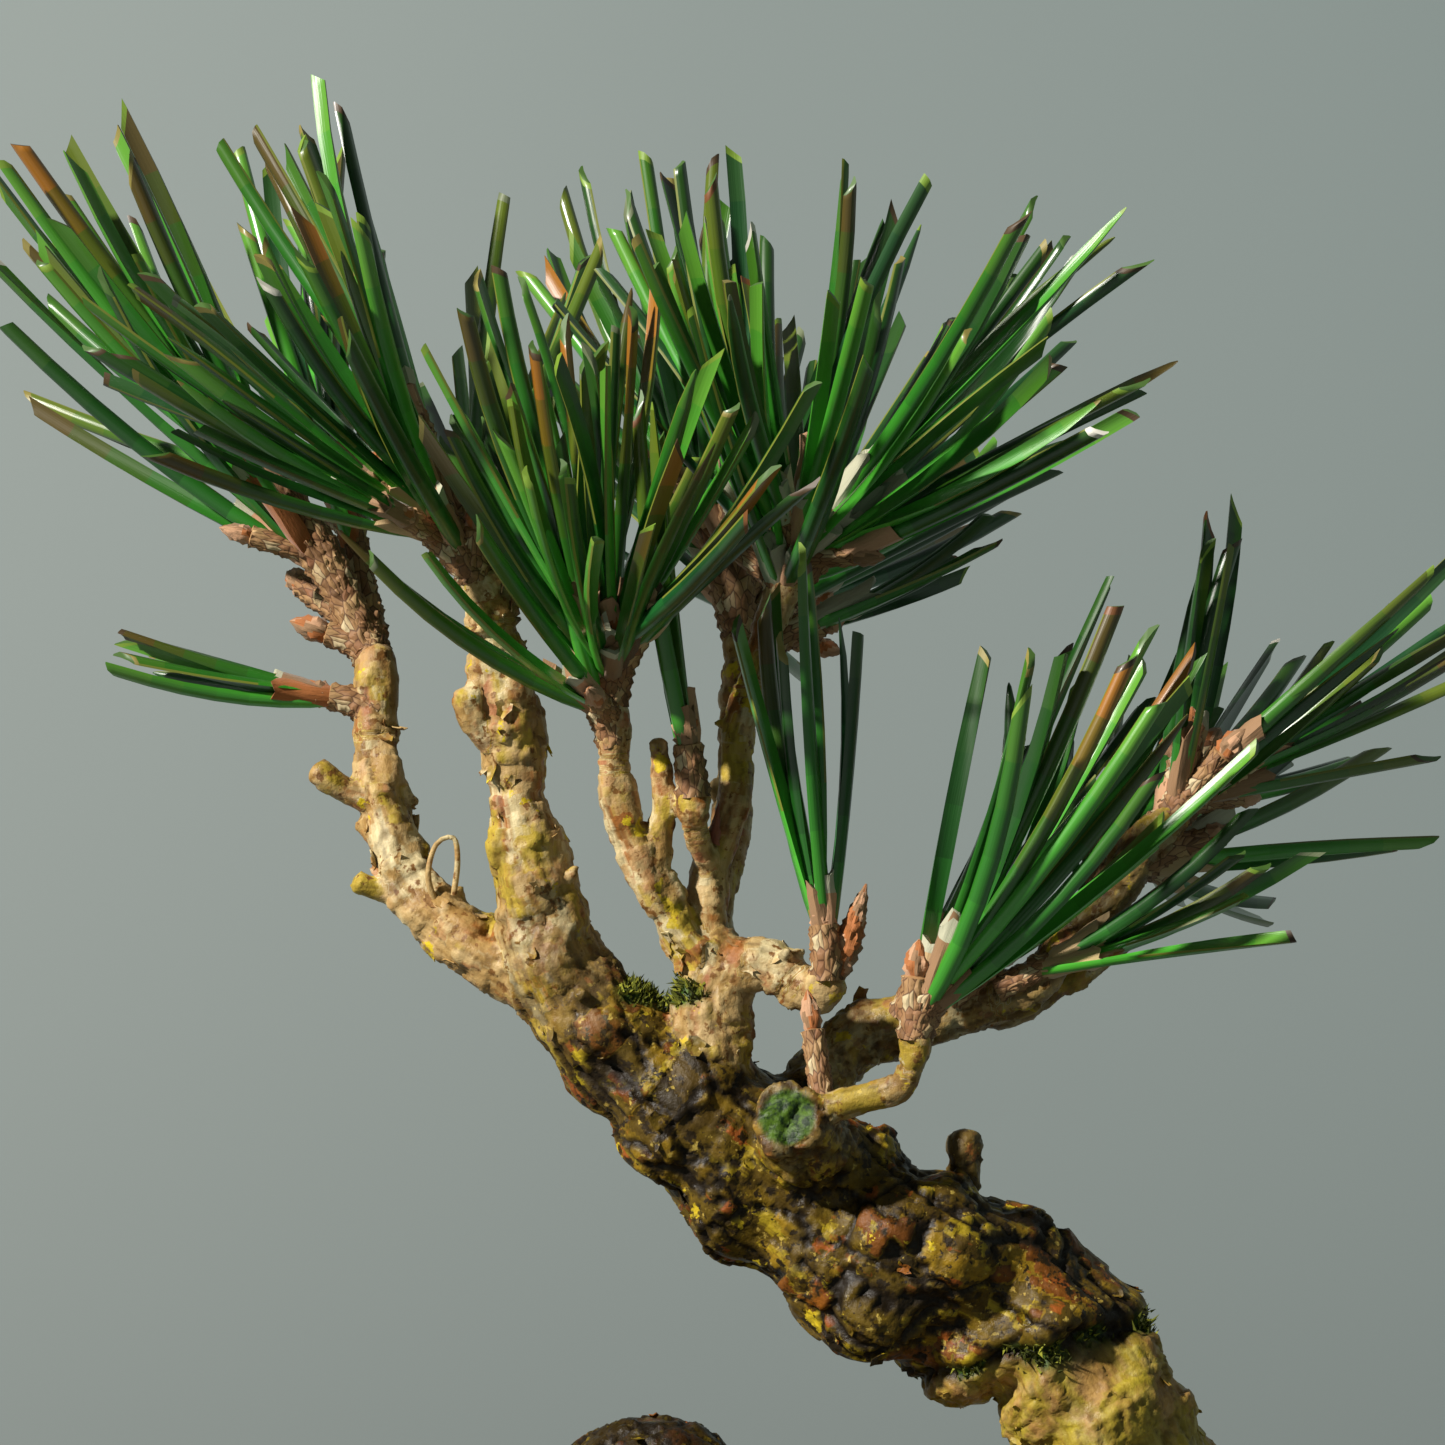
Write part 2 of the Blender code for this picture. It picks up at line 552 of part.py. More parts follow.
def limb_tube(name, grow=0.0):
    """A limb without its stubs, or the same shape grown by a gap to cut others with."""
    spec = LIMBS[name]
    rows = smooth_rows(spec["points"], spec["step"])
    return tube(name + "_tool" if grow else name, rows, spec["sides"], spec["lump"], spec["seed"],
                spec.get("knobs", 0), flared=name == "trunk_foot", grow=grow)


def build_limb(name):
    """A limb with its dead stubs fused on, cut clear of the limb that carries it."""
    spec = LIMBS[name]
    limb = limb_tube(name)
    stubs = [tube("stub", smooth_rows(points, STUB_STEP), STUB_SIDES, STUB_LUMP, spec["seed"] + 1)
             for points in spec.get("stubs", [])]
    if stubs:
        combine(limb, stubs, "UNION")
    neighbours = [spec["parent"]] if "parent" in spec else []
    neighbours += spec.get("clear_of", [])
    if neighbours:
        combine(limb, [limb_tube(other, grow=GAP) for other in neighbours], "DIFFERENCE")
    keep_outer_body(limb)
    finish(limb)


def aim(turn, lean):
    """Direction of a shoot from its angle in the front view and its lean to the back."""
    turn, lean = math.radians(turn), math.radians(lean)
    return np.array([math.cos(lean) * math.cos(turn), math.sin(lean),
                     math.cos(lean) * math.sin(turn)])


def tilted(axis, polar, around):
    """The axis tipped by a polar angle towards the direction at an angle round it."""
    side = unit(np.cross(axis, (0.2, 0.9, 0.4)))
    other = np.cross(axis, side)
    polar, around = math.radians(polar), math.radians(around)
    return (axis * math.cos(polar)
            + (side * math.cos(around) + other * math.sin(around)) * math.sin(polar))


def segment_gaps(start, end, starts, ends):
    """Shortest distance from one straight segment to each of many others."""
    along, many, offset = end - start, ends - starts, start - starts
    length = along @ along
    lengths = np.maximum((many * many).sum(1), 1e-9)
    cross, reach, near = many @ along, (many * offset).sum(1), offset @ along
    spread = np.maximum(length * lengths - cross * cross, 1e-9)
    first = np.clip((cross * reach - near * lengths) / spread, 0.0, 1.0)
    second = np.clip((cross * first + reach) / lengths, 0.0, 1.0)
    first = np.clip((cross * second - near) / length, 0.0, 1.0)
    return np.linalg.norm(offset + first[:, None] * along - second[:, None] * many, axis=1)


class Capsules:
    """Straight segments with a radius each, to keep needles clear of what is there."""

    def __init__(self):
        self.starts, self.ends, self.radii, self.owners = [], [], [], []

    def add(self, start, end, radius, owner):
        self.starts.append(start)
        self.ends.append(end)
        self.radii.append(radius)
        self.owners.append(owner)

    def add_rows(self, rows, owner):
        for first, second in zip(rows[:-1], rows[1:]):
            self.add(first[:3], second[:3], max(first[3], second[3]), owner)

    def clear(self, start, end, radius, gap, skip=None):
        """True where the segment stays a gap clear of all but the skipped owner."""
        chosen = [i for i, owner in enumerate(self.owners) if owner != skip]
        if not chosen:
            return True
        distance = segment_gaps(start, end, np.array(self.starts)[chosen],
                                np.array(self.ends)[chosen])
        return bool((distance - np.array(self.radii)[chosen] - radius > gap).all())


def limb_capsules():
    """Every limb and stub as segments, widened by its swellings."""
    found = Capsules()
    for name, spec in LIMBS.items():
        for points in [spec["points"]] + spec.get("stubs", []):
            rows = smooth_rows(points, LIMB_STEP)
            rows[:, 3] *= 1.0 + LIMB_SWELLING * spec["lump"]
            rows[:, 3] += KNOB_HEIGHT[1] - KNOB_SINK if "knobs" in spec else 0.0
            found.add_rows(rows, name)
    return found


def grow_twigs(spec):
    """A mass's stem and shoots, each as rows of x, y, z and radius."""
    bough = smooth_rows(LIMBS[spec["bough"]]["points"], LIMBS[spec["bough"]]["step"])
    outward = unit(bough[-1, :3] - bough[-2, :3])
    tip_radius = bough[-1, 3]
    foot = bough[-1, :3] + outward * GAP
    points = [foot, foot + outward * STEM_FOOT] + [np.array(point) for point in spec["stem"]]
    end_radius = max(tip_radius * STEM_TAPER, TWIG_RADIUS[0])
    radii = np.linspace(tip_radius, end_radius, len(points))
    stem = smooth_rows([(*point, radius) for point, radius in zip(points, radii)], STEM_STEP)
    rng = np.random.default_rng(spec["seed"])
    shoots = []
    for place, turn, lean, length, fascicles, *scale in spec["shoots"]:
        index = max(1, round(place * (len(stem) - 1)))
        axis = aim(turn + rng.normal(0.0, SHOOT_SPREAD), lean + rng.normal(0.0, SHOOT_SPREAD))
        leaving = unit(axis + SHOOT_FOLLOW * unit(stem[index, :3] - stem[index - 1, :3]))
        root = stem[index, :3]
        middle = root + leaving * length * SHOOT_BEND
        tip = middle + axis * length * (1.0 - SHOOT_BEND)
        rows = [(*root, TWIG_RADIUS[0]), (*middle, sum(TWIG_RADIUS) / 2), (*tip, TWIG_RADIUS[1])]
        path = np.vstack([tip, middle, stem[index::-1, :3]])
        needle_scale = scale[0] if scale else 1.0
        shoots.append((smooth_rows(rows, SHOOT_STEP), axis, path, fascicles, needle_scale))
    return stem, shoots


def point_along(path, distance):
    """The point at a distance along a path of straight stretches."""
    for start, end in zip(path[:-1], path[1:]):
        stretch = np.linalg.norm(end - start)
        if distance <= stretch:
            return start + (end - start) * distance / stretch
        distance -= stretch
    return path[-1]


def needle_pair(base, direction, opening, roll, lengths):
    """The two needles of a fascicle, each as (start, end, outward side)."""
    outward = tilted(direction, 90.0, roll)
    pair = []
    for sign, length in zip((-1, 1), lengths):
        heading = unit(direction + sign * math.tan(math.radians(opening)) * outward)
        start = base + sign * PAIR_OFFSET * outward
        pair.append((start, start + heading * length, sign * outward))
    return pair


def seen_from_front(point):
    """Where a point shows on the plane through the trunk, seen from the front."""
    return np.array(EYE) + (point - EYE) * EYE[1] / (EYE[1] - point[1])


def open_sky():
    """The gaps in the crown as flat segments on the plane through the trunk."""
    gaps = Capsules()
    for x, z, other_x, other_z, radius in SKY:
        gaps.add(np.array([x, 0.0, z]), np.array([other_x, 0.0, other_z]), radius, "sky")
    return gaps


def grow_needles(spec, name, shoots, limbs, twigs, needles, outer, sky):
    """Fascicles round each shoot. One that would leave the mass's reach, touch a limb,
    meet another needle or close a gap is tried again at a new angle, and in the end
    skipped."""
    rng = np.random.default_rng(spec["seed"] + 1000)
    fan = spec.get("fan", FAN)
    low, high = spec.get("length", NEEDLE_LENGTH)
    half = NEEDLE_WIDTH / 2
    grown = []
    for rows, axis, path, fascicles, scale in shoots:
        phase = rng.uniform(0.0, 360.0)
        path_length = np.linalg.norm(np.diff(path, axis=0), axis=1).sum()
        zone = min(NEEDLE_ZONE, path_length - BARE_FOOT)
        for k in range(fascicles):
            share = (k + 0.5) / fascicles
            base = point_along(path, zone * (1.0 - share))
            for attempt in range(TRIES):
                polar = fan[1] + (fan[0] - fan[1]) * share
                polar += rng.normal(0.0, fan[1] * FAN_SPREAD)
                around = phase + GOLDEN_ANGLE * k
                around += rng.normal(0.0, STRAY[0] + STRAY[1] * attempt)
                direction = tilted(axis, abs(polar), around)
                pair = needle_pair(base, direction, rng.uniform(*PAIR_OPENING),
                                   rng.uniform(0.0, 360.0), scale * rng.uniform(low, high, 2))
                if all(np.linalg.norm(end - rows[0, :3]) < REACH
                       and limbs.clear(start, end, half, CLEAR_OF_LIMB)
                       and twigs.clear(start, end, half, CLEAR_OF_LIMB, skip=name)
                       and needles.clear(start, end, half, CLEAR_OF_NEEDLE, skip=name)
                       and outer.clear(start + (end - start) * OUTER_PART, end, half, OWN_CLEARANCE)
                       and sky.clear(seen_from_front(start), seen_from_front(end), half, 0.0)
                       for start, end, _ in pair):
                    break
            else:
                continue
            for start, end, outward in pair:
                grown.append((start, end, outward))
                needles.add(start, end, half, name)
                outer.add(start + (end - start) * OUTER_PART, end, half, name)
    return grown


def needle_prism(start, end, outward):
    """A needle as a three-sided prism: a flat inner side and a ridge on the outside."""
    along = unit(end - start)
    side = unit(np.cross(along, outward))
    outward = np.cross(side, along)
    corners = []
    for point, size in ((start, 1.0), (end, NEEDLE_TIP)):
        corners += [point + side * NEEDLE_WIDTH / 2 * size,
                    point - side * NEEDLE_WIDTH / 2 * size,
                    point + outward * NEEDLE_DEPTH * size]
    faces = [(0, 1, 2), (5, 4, 3), (0, 3, 4, 1), (1, 4, 5, 2), (2, 5, 3, 0)]
    prism = mesh_object("needle", corners, faces)
    work = bmesh.new()
    work.from_mesh(prism.data)
    bmesh.ops.recalc_face_normals(work, faces=work.faces[:])
    work.to_mesh(prism.data)
    work.free()
    return prism


def grow_crown():
    """All masses: first every stem and shoot, then the needles, the front ones first."""
    limbs, twigs, needles, outer = limb_capsules(), Capsules(), Capsules(), Capsules()
    sky = open_sky()
    frames = {name: grow_twigs(spec) for name, spec in MASSES.items()}
    for name, (stem, shoots) in frames.items():
        twigs.add_rows(stem, name)
        for rows, *_ in shoots:
            twigs.add_rows(rows, name)
    crown = {}
    for name, spec in MASSES.items():
        stem, shoots = frames[name]
        grown = grow_needles(spec, name, shoots, limbs, twigs, needles, outer, sky)
        crown[name] = (stem, shoots, grown)
    return crown


def build_mass(name, stem, shoots, grown):
    """A mass of needles: its stem, shoots and needles joined into one solid."""
    mass = tube(name, stem, STEM_SIDES)
    parts = [tube("shoot", rows, TWIG_SIDES) for rows, *_ in shoots]
    parts += [needle_prism(*needle) for needle in grown]
    combine(mass, parts, "UNION")
    keep_outer_body(mass)
    finish(mass)


def main():
    clear_scene()
    build_pot()
    build_soil()
    for name in LIMBS:
        build_limb(name)
    for name, (stem, shoots, grown) in grow_crown().items():
        build_mass(name, stem, shoots, grown)
        print(name, "needles", len(grown), "triangles", len(bpy.data.objects[name].data.polygons))


main()
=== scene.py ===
# %% [markdown]
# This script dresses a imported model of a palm-sized bonsai: a Japanese black pine with a
# bent, flaking trunk, pale young boughs and tufts of stiff, clipped needles, in a plain
# unglazed pot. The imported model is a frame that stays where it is. It says where each
# limb, mass of needles, pot and soil lies, and every piece made here takes the place of
# some of its nodes.

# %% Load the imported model
import json
import math

import bpy
import numpy as np
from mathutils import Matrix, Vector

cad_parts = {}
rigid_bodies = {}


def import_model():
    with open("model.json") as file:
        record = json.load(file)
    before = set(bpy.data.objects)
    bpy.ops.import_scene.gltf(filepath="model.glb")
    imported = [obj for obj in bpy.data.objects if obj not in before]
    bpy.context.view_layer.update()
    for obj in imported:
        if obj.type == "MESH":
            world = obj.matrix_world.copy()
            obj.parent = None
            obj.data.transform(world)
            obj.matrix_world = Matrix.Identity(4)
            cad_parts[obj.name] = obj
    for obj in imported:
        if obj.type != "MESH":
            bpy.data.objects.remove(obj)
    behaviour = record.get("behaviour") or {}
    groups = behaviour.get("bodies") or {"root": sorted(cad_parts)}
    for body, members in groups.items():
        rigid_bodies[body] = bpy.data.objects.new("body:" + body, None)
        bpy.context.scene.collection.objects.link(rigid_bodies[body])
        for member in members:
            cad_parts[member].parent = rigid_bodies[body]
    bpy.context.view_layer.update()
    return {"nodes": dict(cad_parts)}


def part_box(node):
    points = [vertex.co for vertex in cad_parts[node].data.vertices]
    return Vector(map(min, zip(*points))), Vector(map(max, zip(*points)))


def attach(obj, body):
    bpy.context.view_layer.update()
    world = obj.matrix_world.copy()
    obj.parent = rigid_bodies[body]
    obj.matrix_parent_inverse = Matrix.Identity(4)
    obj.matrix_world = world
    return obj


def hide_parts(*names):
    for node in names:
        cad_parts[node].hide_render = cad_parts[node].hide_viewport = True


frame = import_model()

MM = 0.001
# The scale of a noise whose pattern is one millimetre, because Object coordinates are metres.
PER_MM = 1000.0
print("nodes in the frame:", len(frame["nodes"]))

# %% [markdown]
# Colours are easiest to read as the hex codes that a colour picker gives, but Blender's
# shaders add up light, so they want linear values. One function turns the first into the
# second. A second function adds a shader node with its settings and links, so that each
# material further on reads as a short list.

# %% Colours and shader nodes
def linear(code):
    """Linear colour of a hex code: (c + 0.055) / 1.055 to the power 2.4, or c / 12.92 where dark."""
    share = np.array([int(code[i:i + 2], 16) / 255 for i in (1, 3, 5)])
    light = np.where(share > 0.04045, ((share + 0.055) / 1.055) ** 2.4, share / 12.92)
    return (*(float(value) for value in light), 1.0)


def add(tree, kind, links=None, stops=None, **settings):
    """One shader node. Links give an input, by name or number, a value, a hex code or an output."""
    made = tree.nodes.new("ShaderNode" + kind)
    for key, value in settings.items():
        setattr(made, key, value)
    for key, value in (links or {}).items():
        if isinstance(value, bpy.types.NodeSocket):
            tree.links.new(value, made.inputs[key])
        else:
            made.inputs[key].default_value = linear(value) if isinstance(value, str) else value
    if stops:
        points = made.color_ramp.elements
        while len(points) < len(stops):
            points.new(1.0)
        for point, (place, code) in zip(points, stops):
            point.position = place
            point.color = linear(code)
    return made


def finish_named(name, **values):
    """A new material with its shader's own sockets set: its node tree and its shader come too."""
    made = bpy.data.materials.new(name)
    made.use_nodes = True
    shader = made.node_tree.nodes["Principled BSDF"]
    for key, value in values.items():
        shader.inputs[key.replace("_", " ")].default_value = value
    return made, made.node_tree, shader


print("a sRGB grey of #808080 is", round(linear("#808080")[0], 3), "in linear light")


# %% [markdown]
# The photograph was taken level with the crown, from close by, with a hard light from the
# upper left. A needle is 18 pixels wide there and 1.35 mm wide in life, so one pixel is
# 0.075 mm at the trunk's distance. That sets the camera's angle of view.

# %% Camera
PIXEL = 0.075
PHOTO_SIDE = 1445
CAMERA_DISTANCE = 450.0
AIM = (3.19, 119.56)

photo_width = PHOTO_SIDE * PIXEL
camera = bpy.data.objects.new("camera", bpy.data.cameras.new("camera"))
bpy.context.scene.collection.objects.link(camera)
camera.location = (AIM[0] * MM, -CAMERA_DISTANCE * MM, AIM[1] * MM)
camera.rotation_euler = (math.radians(90.0), 0.0, 0.0)
camera.data.angle = 2 * math.atan(photo_width / 2 / CAMERA_DISTANCE)
camera.data.clip_start = 0.01
bpy.context.scene.camera = camera
bpy.context.scene.view_settings.view_transform = "Standard"
print("angle of view", round(math.degrees(camera.data.angle), 2), "degrees")


# %% [markdown]
# Every piece is made from arrays of points, because numpy works out thousands of points
# at once, where a loop over them would be slow. A needle, a limb or a pot is rows of
# points with four-sided faces between them, and a fan of triangles closes each end. Many
# small shapes are gathered in a pile first and become one mesh.

# %% Faces between rows of points
def grid(rows, columns, closed=True):
    """Quads of a grid of points: each joins a point, the next in its row and the two after them."""
    row = np.arange(rows - 1)[:, None]
    column = np.arange(columns if closed else columns - 1)[None, :]
    after = (column + 1) % columns
    corners = [row * columns + column, row * columns + after,
               (row + 1) * columns + after, (row + 1) * columns + column]
    return np.stack(np.broadcast_arrays(*corners), axis=-1).reshape(-1, 4)


def fan(rim, middle, turned=False):
    """Triangles from a ring of points to one in its middle, the other way round if turned."""
    after = np.roll(rim, -1, axis=-1)
    middle = np.broadcast_to(np.asarray(middle)[..., None], rim.shape)
    order = (after, rim, middle) if turned else (rim, after, middle)
    return np.stack(order, axis=-1).reshape(-1, 3)


def capped_tubes(rows, columns, count=1):
    """Faces of tubes that each keep two end points after their rows: quads, then end fans."""
    first = np.arange(count)[:, None, None] * (rows * columns + 2)
    rim = first[:, 0] + np.arange(columns)
    after = first[:, 0, 0] + rows * columns
    lids = [fan(rim, after, turned=True), fan(rim + (rows - 1) * columns, after + 1)]
    return first + grid(rows, columns), np.concatenate(lids)


def even_angles(count):
    """Angles of that many even places round a circle."""
    return np.arange(count) * 2 * math.pi / count


def face_corners(uv):
    """The UV places of each quad's four corners, from a grid of them."""
    return np.stack([uv[..., :-1, :-1, :], uv[..., :-1, 1:, :], uv[..., 1:, 1:, :],
                     uv[..., 1:, :-1, :]], axis=-2)


print("a tube of 3 rows of 8 points has", len(grid(3, 8)), "quads, and two fans close it")


# %% Pieces from arrays
class Pile:
    """Points and faces of many small shapes, gathered to make one mesh of them."""

    def __init__(self):
        self.points, self.quads, self.triangles, self.uvs = [], [], [], []
        self.quad_slots, self.triangle_slots, self.count = [], [], 0

    def add(self, points, quads, triangles=(), quad_slots=0, triangle_slots=0, uv=None):
        """Gather a shape, with a material slot for each face and UV corners for its quads."""
        points = np.asarray(points, float).reshape(-1, 3)
        quads = np.asarray(quads, int).reshape(-1, 4)
        triangles = np.asarray(triangles, int).reshape(-1, 3)
        self.points.append(points)
        self.quads.append(quads + self.count)
        self.triangles.append(triangles + self.count)
        self.quad_slots.append(np.broadcast_to(np.ravel(quad_slots), len(quads)))
        self.triangle_slots.append(np.broadcast_to(np.ravel(triangle_slots), len(triangles)))
        self.uvs.append(np.zeros((len(quads) * 4, 2)) if uv is None else np.reshape(uv, (-1, 2)))
        self.count += len(points)

    def piece(self, name, materials, smooth_angle=50.0):
        """One object of all that was gathered."""
        triangles = np.concatenate(self.triangles)
        uv = np.vstack(self.uvs + [np.zeros((len(triangles) * 3, 2))])
        return mesh_piece(name, np.concatenate(self.points), np.concatenate(self.quads), triangles,
                          np.concatenate(self.quad_slots + self.triangle_slots), materials,
                          smooth_angle, uv)


def mesh_piece(name, points, quads, triangles=(), slots=None, materials=(), smooth_angle=50.0,
               uv=None):
    """An object at the origin from points in millimetres, quads, triangles and their slots."""
    quads = np.asarray(quads, np.int32).reshape(-1, 4)
    triangles = np.asarray(triangles, np.int32).reshape(-1, 3)
    mesh = bpy.data.meshes.new(name)
    mesh.vertices.add(len(points))
    mesh.vertices.foreach_set("co", (np.asarray(points) * MM).astype(np.float32).ravel())
    mesh.loops.add(quads.size + triangles.size)
    mesh.loops.foreach_set("vertex_index", np.concatenate([quads.ravel(), triangles.ravel()]))
    mesh.polygons.add(len(quads) + len(triangles))
    starts = np.concatenate([np.arange(len(quads)) * 4, quads.size + np.arange(len(triangles)) * 3])
    mesh.polygons.foreach_set("loop_start", starts.astype(np.int32))
    if slots is not None:
        mesh.polygons.foreach_set("material_index", np.asarray(slots, np.int32))
    if uv is not None:
        mesh.uv_layers.new(name="UVMap").data.foreach_set("uv", uv.astype(np.float32).ravel())
    mesh.update(calc_edges=True)
    for material in materials:
        mesh.materials.append(material)
    mesh.shade_smooth()
    if smooth_angle < 180.0:
        mesh.set_sharp_from_angle(angle=math.radians(smooth_angle))
    made = bpy.data.objects.new(name, mesh)
    bpy.context.scene.collection.objects.link(made)
    return made


def store(piece, name, values):
    """Keep a number, or three, for each point of a piece, which its material reads by that name."""
    values = np.asarray(values, np.float32)
    kind, field = ("FLOAT", "value") if values.ndim == 1 else ("FLOAT_VECTOR", "vector")
    piece.data.attributes.new(name, kind, "POINT").data.foreach_set(field, values.ravel())


def read_points(mesh):
    """A mesh's points as an array, one row each."""
    flat = np.empty(len(mesh.vertices) * 3, np.float32)
    mesh.vertices.foreach_get("co", flat)
    return flat.reshape(-1, 3).astype(float)


# %% [markdown]
# A photographer's paper sweep hides the corner between floor and wall. This one is a sheet that bends
# up into a round wall, so no horizon shows from any side, and its grey is painted darker to the right
# as the photograph's is: painted shade that stands in for light falling off to the right. The shadows
# in the photograph are short and crisp, so the light is a small hard sun over a faint even sky.

# %% Backdrop
FLOOR_RADIUS = 520.0
SWEEP_RADIUS = 1500.0
WALL_HEIGHT = 2600.0
BACKDROP_SIDES = 96

turn = np.linspace(0.0, math.pi / 2, 25)
sweep_run = FLOOR_RADIUS + SWEEP_RADIUS * np.sin(turn)
sweep_rise = SWEEP_RADIUS * (1.0 - np.cos(turn))
backdrop_run = np.concatenate([[4.0, 120.0, 300.0], sweep_run, [sweep_run[-1]]])
backdrop_rise = np.concatenate([[0.0, 0.0, 0.0], sweep_rise, [WALL_HEIGHT]])
around = even_angles(BACKDROP_SIDES)
backdrop_points = np.stack(np.broadcast_arrays(
    backdrop_run[:, None] * np.cos(around), backdrop_run[:, None] * np.sin(around),
    backdrop_rise[:, None]), axis=-1).reshape(-1, 3)
backdrop_points = np.vstack([backdrop_points, [(0.0, 0.0, 0.0)]])
backdrop_triangles = fan(np.arange(BACKDROP_SIDES), len(backdrop_points) - 1, turned=True)
paper, tree, shader = finish_named("matt_grey_backdrop_paper", Roughness=0.95, Specular_IOR_Level=0.1)
place = add(tree, "SeparateXYZ", {0: add(tree, "TexCoord").outputs["Object"]})
rise = add(tree, "MapRange", {0: place.outputs["Z"], 1: 0.0, 2: 0.35})
across = add(tree, "MapRange", {0: place.outputs["X"], 1: -0.32, 2: 0.32})
low_grey = add(tree, "ValToRGB", {0: rise.outputs[0]}, stops=[(0.0, "#8f9793"), (1.0, "#8f9894")])
# Painted shade: the paper's grey is painted darker from left to right, standing in for light that falls
# off away from the left.
painted_falloff_grey = add(tree, "ValToRGB", {0: across.outputs[0]}, stops=[
    (0.0, "#f7f7fc"), (0.5, "#d1d4d9"), (1.0, "#b3babf")])
both = add(tree, "MixRGB", {0: 1.0, 1: low_grey.outputs[0], 2: painted_falloff_grey.outputs[0]},
           blend_type="MULTIPLY")
tree.links.new(both.outputs[0], shader.inputs["Base Color"])
backdrop = mesh_piece("backdrop", backdrop_points, grid(len(backdrop_run), BACKDROP_SIDES),
                      backdrop_triangles, materials=[paper], smooth_angle=180.0)
backdrop.visible_shadow = False
print("backdrop", len(backdrop.data.polygons), "faces")

# %% Light
SUN_TOWARDS = (-0.70, -0.48, 0.53)
SUN_STRENGTH = 6.6
SUN_ANGLE = 3.0
SKY_STRENGTH = 0.19

sun = bpy.data.objects.new("key_light", bpy.data.lights.new("key_light", "SUN"))
bpy.context.scene.collection.objects.link(sun)
sun.data.energy = SUN_STRENGTH
sun.data.angle = math.radians(SUN_ANGLE)
sun.data.color = linear("#fffaf2")[:3]
level = math.hypot(SUN_TOWARDS[0], SUN_TOWARDS[1])
sun.rotation_euler = (math.atan2(level, SUN_TOWARDS[2]), 0.0,
                      math.atan2(SUN_TOWARDS[1], SUN_TOWARDS[0]) + math.pi / 2)
world = bpy.data.worlds.new("soft_room_light")
bpy.context.scene.world = world
world.use_nodes = True
sky_light = world.node_tree.nodes["Background"]
sky_light.inputs["Color"].default_value = linear("#eef2f4")
sky_light.inputs["Strength"].default_value = SKY_STRENGTH
print("sun", SUN_STRENGTH, "over a sky of", SKY_STRENGTH)


# %% [markdown]
# A bonsai is grown from a few bent limbs. Each limb here is a smooth curve through a few
# points with a radius at each, in millimetres: X runs to the right of the front view, Y
# to the back and Z up, from the middle of the pot's underside. These are the packed
# model's own limbs, so bark and needles made from them land where its nodes are.

# %% Limbs
TRUNK_CUT = 32.0
GAP = 0.3

# Root flare: its height above the cut, its widening and the depth of its buttresses.
FLARE_HEIGHT = 7.0
FLARE_WIDENING = 0.12
BUTTRESS_DEPTH = 0.13
BUTTRESSES = 5

# Swellings of a limb: waves along it, of a length within the range, and the most
# waves round it.
LUMP_WAVES = 5
LUMP_LENGTH = (5.0, 13.0)
LUMP_LOBES = 3

# Knobs of old bark on the trunk: their height and width, and how far the limb's own
# surface lies below its radius, so that limb and knobs together keep it. A limb thinner
# than the full radius has lower knobs.
KNOB_HEIGHT = (0.3, 1.1)
KNOB_WIDTH = (2.0, 4.2)
KNOB_SINK = 0.5
KNOB_FULL_RADIUS = 6.0

